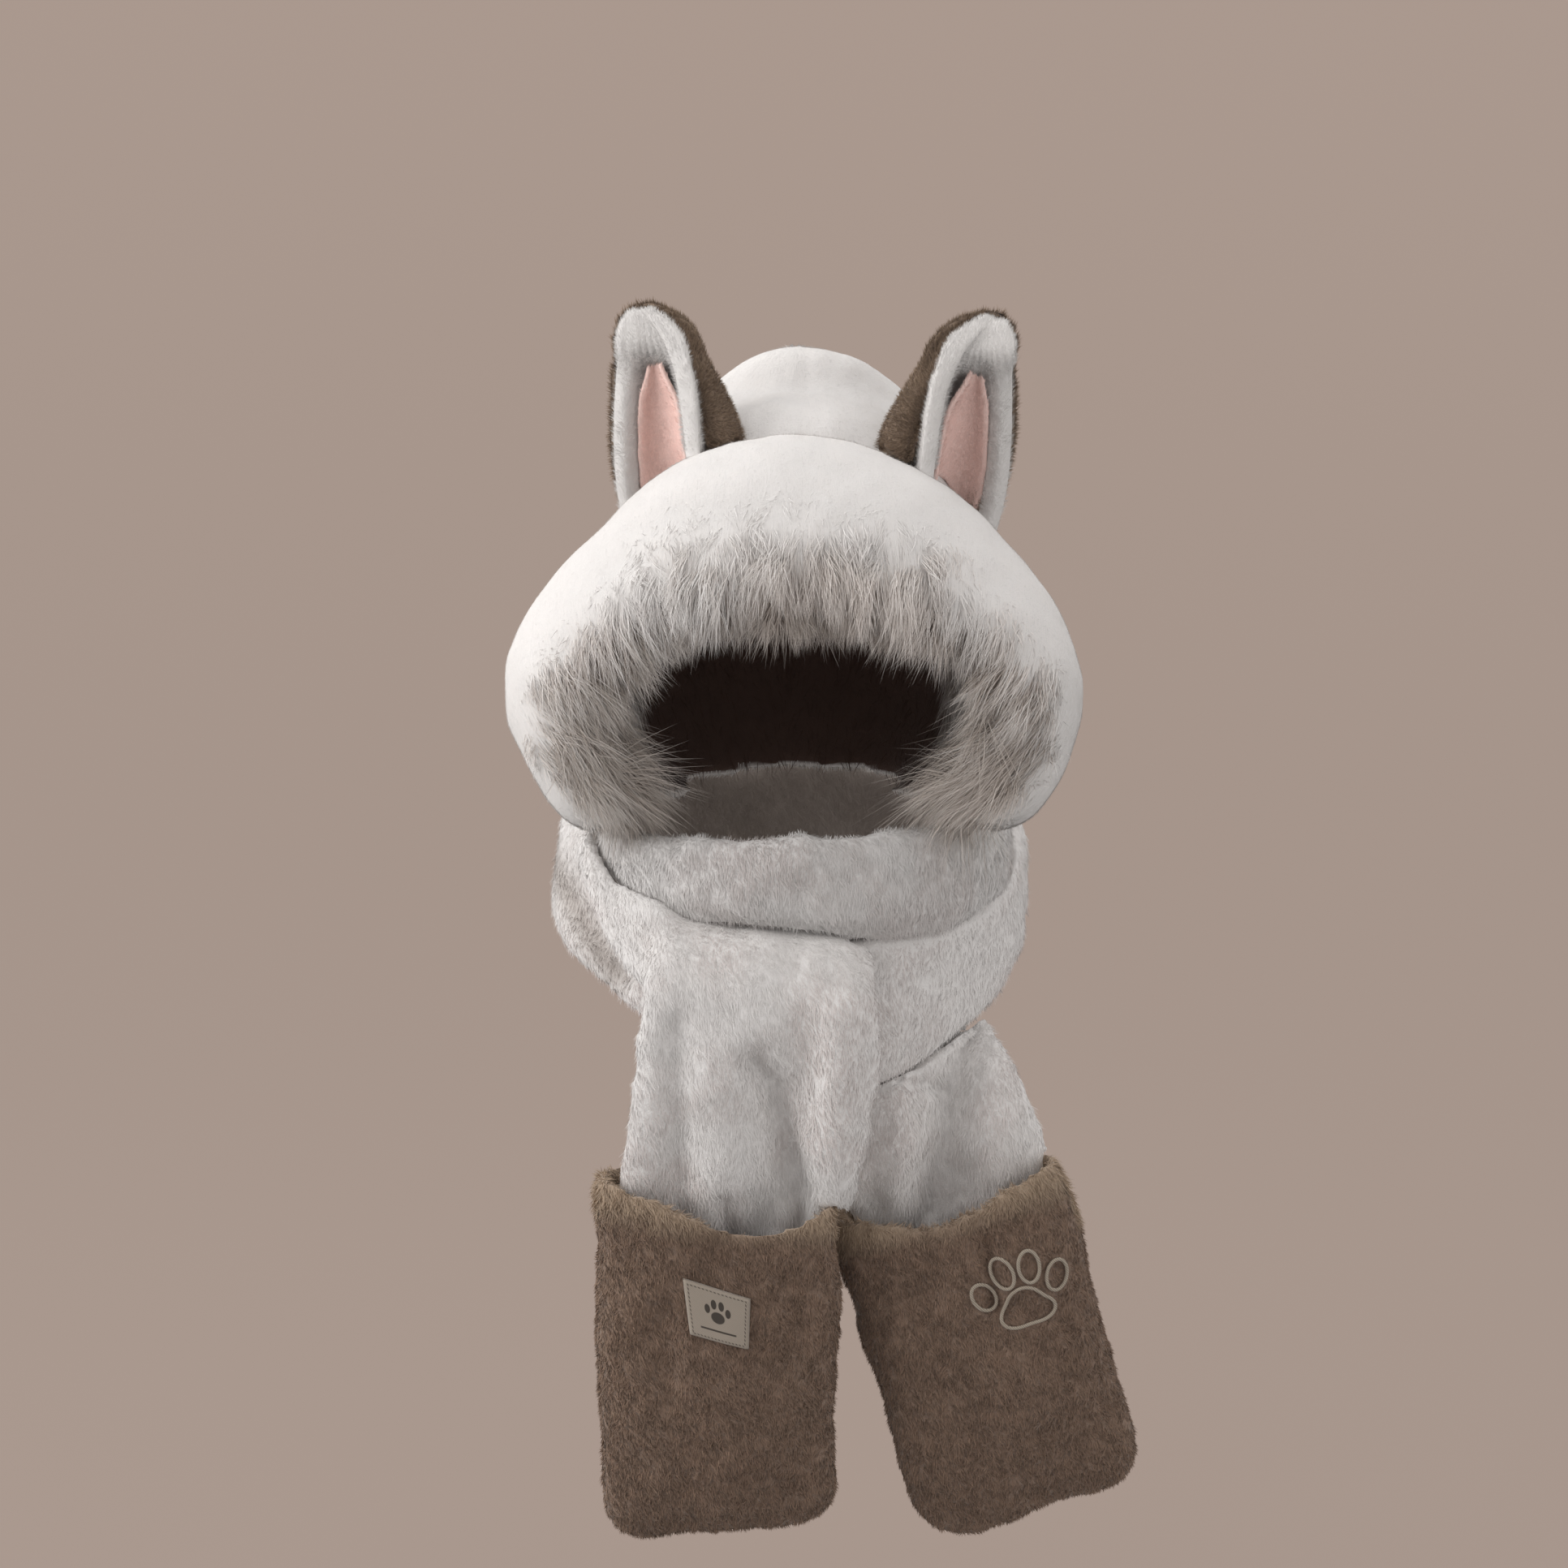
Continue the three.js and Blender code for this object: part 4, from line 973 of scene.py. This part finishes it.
class HOODSCARF_OT_scarf(bpy.types.Operator):
    """Make the scarf: the roll under the chin, the turn round the neck and the two hanging ends"""

    bl_idname = "hood_scarf.scarf"
    bl_label = "Scarf"

    def execute(self, context):
        cloth, tones = settings()
        lay = np.array([0.1, -0.1, -0.55])
        for seed, (name, row) in enumerate(SCARF.items()):
            nodes, grid, rounds, size, amount, hairs, pale, against = row
            # pale, how white, is partly painted light: the chin roll darker as if in shade under the brim,
            # the side end lighter
            white = toned(tones.white, 1.16 * pale)
            base = toned(tones.white_base, 1.14 * pale)
            dim = toned((0.74, 0.665, 0.64), pale)
            piece = soften(name, nodes, grid, rounds)
            press(piece, SCARF_FOLDS[name])
            ruffle(piece, size, amount, seed + 9)
            swell(piece, CREASE, 0.024, 0.008)
            if name == "chin_roll":
                taper_ends(piece)
            if name == "neck_roll":
                round_shoulder(piece)
            piece.data.materials.append(ground_finish(name + "_ground", white, base, lining=LOOP_PAINTED_SHADE))
            places, normals = points_of(piece.data)
            share = bare(places, against)
            # Painted shade: the inward-facing insides of the chin and neck rolls and the loop's hollow are
            # painted darker
            shade = np.zeros(len(places))
            if name in ("chin_roll", "neck_roll"):
                inward = turned_in(places, normals, *NECK)
                shade = inward * step(-0.13, -0.02, places[:, 1])
                share *= 1 - 0.15 * inward
            if name == "neck_roll":
                hollow = np.exp(-((line_distance(places, LOOP_HOLLOW) / 0.012) ** 2))
                shade = np.maximum(shade, 0.7 * hollow)
            carry(piece.data, "shade", shade)
            pile = pile_finish(name + "_pile", base, white, 0.1, patch=dim, deep=LOOP_PAINTED_SHADE, wide=17.0)
            long = cloth.plush_pile
            grow(piece, name + "_pile", fluff(hairs), 71 + seed, share, long, lay, pile)
            cushion(piece, nodes)
        return {"FINISHED"}


# The pockets


POCKETS = {
    # pocket: (what it is sewn to, how far it leans)
    "front_pocket": ("front_panel", math.radians(1.5)),
    "side_pocket": ("side_panel", math.radians(17.0)),
}
POCKET_DENTS = {
    # pocket: (a line of (x, z) corners, width, depth), and less than 0 deep for a bulge
    "front_pocket": [
        ([(-0.006, -0.575), (0.003, -0.605)], 0.009, 0.004),
        ([(-0.083, -0.6), (-0.079, -0.655)], 0.011, 0.0035),
        ([(-0.05, -0.68), (-0.04, -0.73)], 0.02, -0.003),
    ],
    "side_pocket": [
        ([(0.128, -0.556), (0.134, -0.6)], 0.008, 0.005),
        ([(0.085, -0.6), (0.095, -0.65)], 0.014, 0.003),
        ([(0.15, -0.66), (0.165, -0.71)], 0.02, -0.003),
    ],
}
# painted highlight: the lighter colour painted on the pile and ground at the pockets' mouths
POCKET_RIM_HIGHLIGHT = (0.46, 0.35, 0.255)  # the colour of the pile at the pockets' mouths
# The label's corners, x and z
LABEL = ((-0.0703, -0.5712), (-0.0271, -0.585), (-0.0283, -0.6178), (-0.0657, -0.6078))
PATCH = (0.044, 0.034)  # the patch's width and height, lying flat
TAPE_PITCH = 0.0009  # from one of the tape's threads to the next
PRINT = 0.02  # width of the paw that is printed on the tape
PAW = (0.1515, -0.5887)  # the middle of the sewn paw, x and z
PAW_PADS = (
    # a pad's middle, its half width and half height, as shares of the paw's width, and its turn in degrees
    (0.0, -0.2, 0.25, 0.19, 0.0),
    (-0.36, 0.02, 0.1, 0.15, 22.0),
    (-0.13, 0.2, 0.1, 0.16, 7.0),
    (0.13, 0.2, 0.1, 0.16, -7.0),
    (0.36, 0.02, 0.1, 0.15, -22.0),
)


def below_rim(places, normals, lean):
    """How far each point is below the pocket's mouth, measured along the pocket."""
    up = np.array([-math.sin(lean), math.cos(lean)])
    height = places[:, ::2] @ up
    column = np.round((places[:, ::2] @ np.array([up[1], -up[0]])) / 0.008).astype(int)
    column -= column.min()
    top = np.full(column.max() + 1, height.min())
    front = normals[:, 1] < -0.2
    np.maximum.at(top, column[front], height[front])
    return top[column] - height


def paw_lines():
    """The sewn paw's outlines: closed lines of (x, z) points."""
    lean = POCKETS["side_pocket"][1]
    size = settings()[0].motif
    lines = []
    for x, z, wide, high, turn in PAW_PADS:
        line = []
        for i in range(41):
            angle = 2 * math.pi * i / 40
            swell = 1 + 0.14 * math.cos(3 * (angle - math.pi / 2)) * (high > wide * 0.5 and wide > 0.2)
            spot = Vector((wide * math.cos(angle), high * math.sin(angle))) * swell
            spot.rotate(Matrix.Rotation(math.radians(turn), 2))
            spot += Vector((x, z))
            spot.rotate(Matrix.Rotation(lean, 2))
            line.append((PAW[0] + spot.x * size, PAW[1] + spot.y * size))
        lines.append(line)
    return lines


def in_label(places, inset):
    """1 for points behind the label as seen from the front, inset inside its edges, and 0 elsewhere."""
    inside = np.ones(len(places))
    for (x0, z0), (x1, z1) in zip(LABEL, LABEL[1:] + LABEL[:1]):
        run = np.array([x1 - x0, z1 - z0])
        run /= np.linalg.norm(run)
        inward = (places[:, 0] - x0) * run[1] - (places[:, 2] - z0) * run[0]
        inside *= step(inset - 0.001, inset + 0.001, inward)
    return inside * (places[:, 1] < -0.2)


class HOODSCARF_OT_pockets(bpy.types.Operator):
    """Make the two brown hand pockets"""

    bl_idname = "hood_scarf.pockets"
    bl_label = "Hand Pockets"

    def execute(self, context):
        cloth, tones = settings()
        brown, base = tones.brown, tones.brown_base
        ground = ground_finish("pocket_ground", brown, base, 150.0, 0.6, lining=POCKET_RIM_HIGHLIGHT)
        pile = pile_finish(
            "pocket_pile", base, brown, 0.35, 0.3, 0.7, patch=toned(brown, 1.1), frost=toned(brown, 0.5),
            deep=POCKET_RIM_HIGHLIGHT, wide=110.0, speck=700.0, fade=False,
        )
        for seed, (name, (panel, lean)) in enumerate(POCKETS.items()):
            piece = soften(name + "_bag", [name], 0.0042, 4)
            press(piece, POCKET_DENTS[name])
            ruffle(piece, 0.055, 0.005, seed + 21)
            piece.data.materials.append(ground)
            places, normals = points_of(piece.data)
            low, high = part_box(name)
            middle = (low + high) / 2
            middle.z = low.z + 0.1
            inside = turned_in(places, normals, middle, (0.08, 0.03, 10.0))
            below = below_rim(places, normals, lean)
            # The shade value is 1 at the mouth, where the pockets are painted lighter: a painted highlight
            rim = 1 - step(0.01, 0.032, below)
            carry(piece.data, "shade", rim)
            share = (1 - 0.85 * inside * step(0.03, 0.07, below)) * bare(places, [panel])
            long = cloth.pocket_pile * (1 + 0.8 * rim)
            if name == "front_pocket":
                share *= 1 - in_label(places, 0.002)
            else:
                near = np.min([line_distance(places, line) for line in paw_lines()], axis=0)
                sewn = (1 - step(0.0012, 0.0035, near)) * (normals[:, 1] < 0)
                share *= 1 - sewn
                long *= 1 - 0.5 * (1 - step(0.002, 0.006, near)) * (normals[:, 1] < 0)
            lay = np.array([0.1, -0.1, -0.4])
            habit = Fur(900000, 0.0007, mess=0.35, tuft=0.005, gather=0.3, lean=0.25, twist=0.7)
            grow(piece, name + "_pile", habit, 81 + seed, share, long, lay, pile)
            cushion(piece, [name])
        return {"FINISHED"}


def front_of(piece):
    """A function that gives the y of a cloth piece's front at an (x, z)."""
    tree = tree_of(piece)

    def at(x, z):
        spot = tree.ray_cast(Vector((x, -1.0, z)), Vector((0, 1, 0)))[0]
        if spot is None:
            raise RuntimeError(f"{piece.name} isn't behind ({x:.3f}, {z:.3f})")
        return spot.y

    return at


def tape_finish(tones):
    """Woven tape with a printed paw and line and a stitched edge, from its own across and up."""
    material, net, shader = finish_of("woven_tape", Roughness=0.85, Specular_IOR_Level=0.2, Sheen_Weight=0.2)
    weave = net.attribute("weave", out="Vector")
    across, up = weave.part("X"), weave.part("Y")
    height = (across.wave(TAPE_PITCH) * up.wave(TAPE_PITCH)).most(0.0)
    mark = (1 - abs(up + 0.0095).between(0.0004, 0.0008)) * (1 - abs(across).between(0.0125, 0.0135))
    for x, z, wide, high, _turn in PAW_PADS:
        far = ((across - PRINT * x) / (PRINT * wide)).power(2.0)
        far = far + ((up - 0.003 - PRINT * z) / (PRINT * high)).power(2.0)
        mark = mark.most(1 - far.between(0.75, 1.1))
    edge = (abs(across) * (2 / PATCH[0])).most(abs(up) * (2 / PATCH[1]))
    seam = (1 - abs(edge - 0.88).between(0.015, 0.03)) * (across + up).wave(0.0026).between(-0.5, -0.1)
    mark = mark.most(seam * 0.75)
    tone = net.blend(toned(tones.tape, 0.8), tones.tape, height)
    tone = net.blend(tone, (0.045, 0.036, 0.03), mark * 0.92)
    feed(net, shader, Base_Color=tone, Normal=net.bump(0.6, 0.0004, height + mark * 0.4))
    return material


def thread_finish(tones):
    """Twisted embroidery thread."""
    material, net, shader = finish_of("thread", Roughness=0.5, Specular_IOR_Level=0.4, Sheen_Weight=0.3)
    place = net.place()
    twist = (place.part("X") + place.part("Z")).wave(0.0016)
    tone = net.blend(toned(tones.cord, 0.55), tones.cord, twist.between(-1.0, 0.4))
    feed(net, shader, Base_Color=tone, Normal=net.bump(0.5, 0.0005, twist))
    return material


class HOODSCARF_OT_trim(bpy.types.Operator):
    """Make the woven patch on the front pocket and the sewn paw on the side pocket"""

    bl_idname = "hood_scarf.trim"
    bl_label = "Trim"

    def execute(self, context):
        cloth, tones = settings()
        surface = front_of(PIECES["front_pocket_bag"])
        form = bmesh.new()
        bmesh.ops.create_grid(form, x_segments=44, y_segments=34, size=0.5)
        corners = [Vector(corner) for corner in LABEL]
        spots, weave = [], []
        for vert in form.verts:
            u, v = vert.co.x + 0.5, 0.5 - vert.co.y
            top = corners[0].lerp(corners[1], u)
            spot = top.lerp(corners[3].lerp(corners[2], u), v)
            spots.append((spot.x, surface(spot.x, spot.y), spot.y))
            weave.append(((u - 0.5) * PATCH[0], (0.5 - v) * PATCH[1], 0.0))
        spots, weave = np.array(spots), np.array(weave)
        flat = spots[:, ::2] - spots[:, ::2].mean(axis=0)
        terms = np.stack([np.ones(len(flat)), *flat.T, *(flat.T**2), flat[:, 0] * flat[:, 1]], axis=1)
        even = terms @ np.linalg.lstsq(terms, spots[:, 1], rcond=None)[0]
        spots[:, 1] = even + 0.3 * (spots[:, 1] - even) - 0.0035
        edge = 2 * np.abs(weave[:, :2]) / PATCH
        spots[:, 1] += 0.002 * (edge.max(axis=1) > 0.97)
        for vert, spot in zip(form.verts, spots):
            vert.co = spot
        mesh = mesh_of("pocket_patch", form)
        carry(mesh, "weave", weave)
        patch = link("pocket_patch", mesh)
        modify(patch, "Thickness", "SOLIDIFY", thickness=0.001, offset=0.0)
        settle(patch)
        patch.data.shade_smooth()
        patch.data.materials.append(tape_finish(tones))
        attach(patch, "root")
        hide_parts("pocket_label")

        surface = front_of(PIECES["side_pocket_bag"])
        curve = bpy.data.curves.new("sewn_paw", "CURVE")
        curve.dimensions = "3D"
        curve.bevel_depth = cloth.thread / 2
        curve.bevel_resolution = 3
        for line in paw_lines():
            spline = curve.splines.new("POLY")
            spline.points.add(len(line) - 2)
            spline.use_cyclic_u = True
            for point, (x, z) in zip(spline.points, line):
                point.co = (x, surface(x, z) - 0.0022, z, 1.0)
        stitches = link("stitches", curve)
        graph = bpy.context.evaluated_depsgraph_get()
        mesh = bpy.data.meshes.new_from_object(stitches.evaluated_get(graph))
        bpy.data.objects.remove(stitches)
        paw = link("sewn_paw", mesh)
        mesh.materials.clear()
        mesh.materials.append(thread_finish(tones))
        mesh.shade_smooth()
        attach(paw, "root")
        return {"FINISHED"}


# The stage


LIGHTS = {
    # light: (where it stands, its width in metres and its power in watts)
    "left": ((-2.1, -0.7, 0.3), 1.6, 35.0),
    "right": ((2.0, -1.2, 0.0), 1.8, 13.5),
    "high": ((-1.1, -1.3, 1.9), 1.3, 11.0),
    "top": ((0.1, 0.3, 1.9), 1.2, 18.0),
}
LIGHT_AIM = Vector((-0.005, -0.1, -0.3))
LIGHT_TINT = (1.0, 0.99, 0.98)
CAMERA_AIM = Vector((-0.005, -0.1, -0.269))
WALL_HEIGHT = 4.5
WALL_CURVE = 1.8  # how far the floor's curve up to the wall reaches


def backdrop_mesh(room, low):
    """The floor and the round wall that it curves up to, spun from one profile."""
    form = bmesh.new()
    line = [form.verts.new((0.0, 0.0, low))]
    for run in ((room, 0, 0), (0, 0, WALL_HEIGHT)):
        line += bmesh.ops.extrude_vert_indiv(form, verts=line[-1:])["verts"]
        bmesh.ops.translate(form, verts=line[-1:], vec=run)
    bmesh.ops.bevel(
        form, geom=line[1:2], offset=WALL_CURVE, affect="VERTICES", segments=16, profile=0.5, material=-1
    )
    bmesh.ops.spin(
        form, geom=form.verts[:] + form.edges[:], cent=(0, 0, 0), axis=(0, 0, 1), angle=2 * math.pi,
        steps=96, use_merge=True,
    )
    bmesh.ops.remove_doubles(form, verts=form.verts, dist=MERGE)
    bmesh.ops.recalc_face_normals(form, faces=form.faces)
    bmesh.ops.reverse_faces(form, faces=form.faces)
    mesh = mesh_of("backdrop", form)
    mesh.shade_smooth()
    return mesh


class HOODSCARF_OT_stage(bpy.types.Operator):
    """Set the floor, the soft studio light and the camera"""

    bl_idname = "hood_scarf.stage"
    bl_label = "Stage"

    def execute(self, context):
        scene = context.scene
        stage = scene.hood_scarf_stage
        low = CAD_BOX[0][2] - stage.floor_drop
        backdrop = link("backdrop", backdrop_mesh(stage.room, low))
        backdrop.visible_diffuse = False
        backdrop.visible_glossy = False
        backdrop.visible_shadow = False
        tone = stage.backdrop
        glow = (*toned(tone, 0.86), 1.0)
        material, net, shader = finish_of(
            "backdrop", Roughness=0.9, Specular_IOR_Level=0.1, Emission_Color=glow, Emission_Strength=1.0
        )
        height = net.place().part("Z").between(low - 0.1, 1.2)
        feed(net, shader, Base_Color=net.blend(toned(tone, 0.15), toned(tone, 0.32), height))
        backdrop.data.materials.append(material)

        for name, (place, size, power) in LIGHTS.items():
            lamp = bpy.data.lights.new(name, "AREA")
            lamp.size = size
            lamp.energy = power
            lamp.color = LIGHT_TINT
            light = link(name, lamp)
            light.location = place
            light.rotation_euler = (LIGHT_AIM - Vector(place)).to_track_quat("-Z", "Y").to_euler()
        scene.world = bpy.data.worlds.new("studio")
        scene.world.use_nodes = True
        background = scene.world.node_tree.nodes["Background"]
        background.inputs["Color"].default_value = (1.0, 0.965, 0.95, 1.0)
        background.inputs["Strength"].default_value = 0.37
        scene.view_settings.view_transform = "Standard"

        camera = link("camera", bpy.data.cameras.new("camera"))
        camera.data.lens = stage.lens
        camera.data.sensor_width = 36.0
        out = Vector((0.0, -math.cos(stage.elevation), math.sin(stage.elevation)))
        camera.location = CAMERA_AIM + out * stage.distance
        camera.rotation_euler = (-out).to_track_quat("-Z", "Y").to_euler()
        scene.camera = camera
        return {"FINISHED"}


class HOODSCARF_PT_panel(bpy.types.Panel):
    """Lists the hood scarf's settings and makers"""

    bl_idname = "HOODSCARF_PT_panel"
    bl_label = "Animal Hood Scarf"
    bl_space_type = "VIEW_3D"
    bl_region_type = "UI"
    bl_category = "Hood Scarf"

    def draw(self, context):
        for group in GROUPS:
            values = getattr(context.scene, group)
            box = self.layout.box()
            for name in values.bl_rna.properties.keys():
                if name not in ("rna_type", "name"):
                    box.prop(values, name)
        for operator in OPERATORS:
            self.layout.operator(operator.bl_idname)


OPERATORS = (
    HOODSCARF_OT_stage,
    HOODSCARF_OT_hood,
    HOODSCARF_OT_brim,
    HOODSCARF_OT_ears,
    HOODSCARF_OT_scarf,
    HOODSCARF_OT_pockets,
    HOODSCARF_OT_trim,
)
GROUPS = {
    "hood_scarf_cloth": HoodScarfCloth,
    "hood_scarf_colours": HoodScarfColours,
    "hood_scarf_stage": HoodScarfStage,
}
CLASSES = (*GROUPS.values(), *OPERATORS, HOODSCARF_PT_panel)


def register():
    """Adds the classes and the scene's settings."""
    for item in CLASSES:
        bpy.utils.register_class(item)
    for name, group in GROUPS.items():
        setattr(bpy.types.Scene, name, bpy.props.PointerProperty(type=group))


def unregister():
    """Takes them away again."""
    for name in GROUPS:
        delattr(bpy.types.Scene, name)
    for item in reversed(CLASSES):
        bpy.utils.unregister_class(item)


def main():
    """Makes the hood scarf."""
    register()
    bpy.ops.hood_scarf.stage()
    bpy.ops.hood_scarf.hood()
    bpy.ops.hood_scarf.brim()
    bpy.ops.hood_scarf.ears()
    bpy.ops.hood_scarf.scarf()
    bpy.ops.hood_scarf.pockets()
    bpy.ops.hood_scarf.trim()


if __name__ == "__main__":
    main()
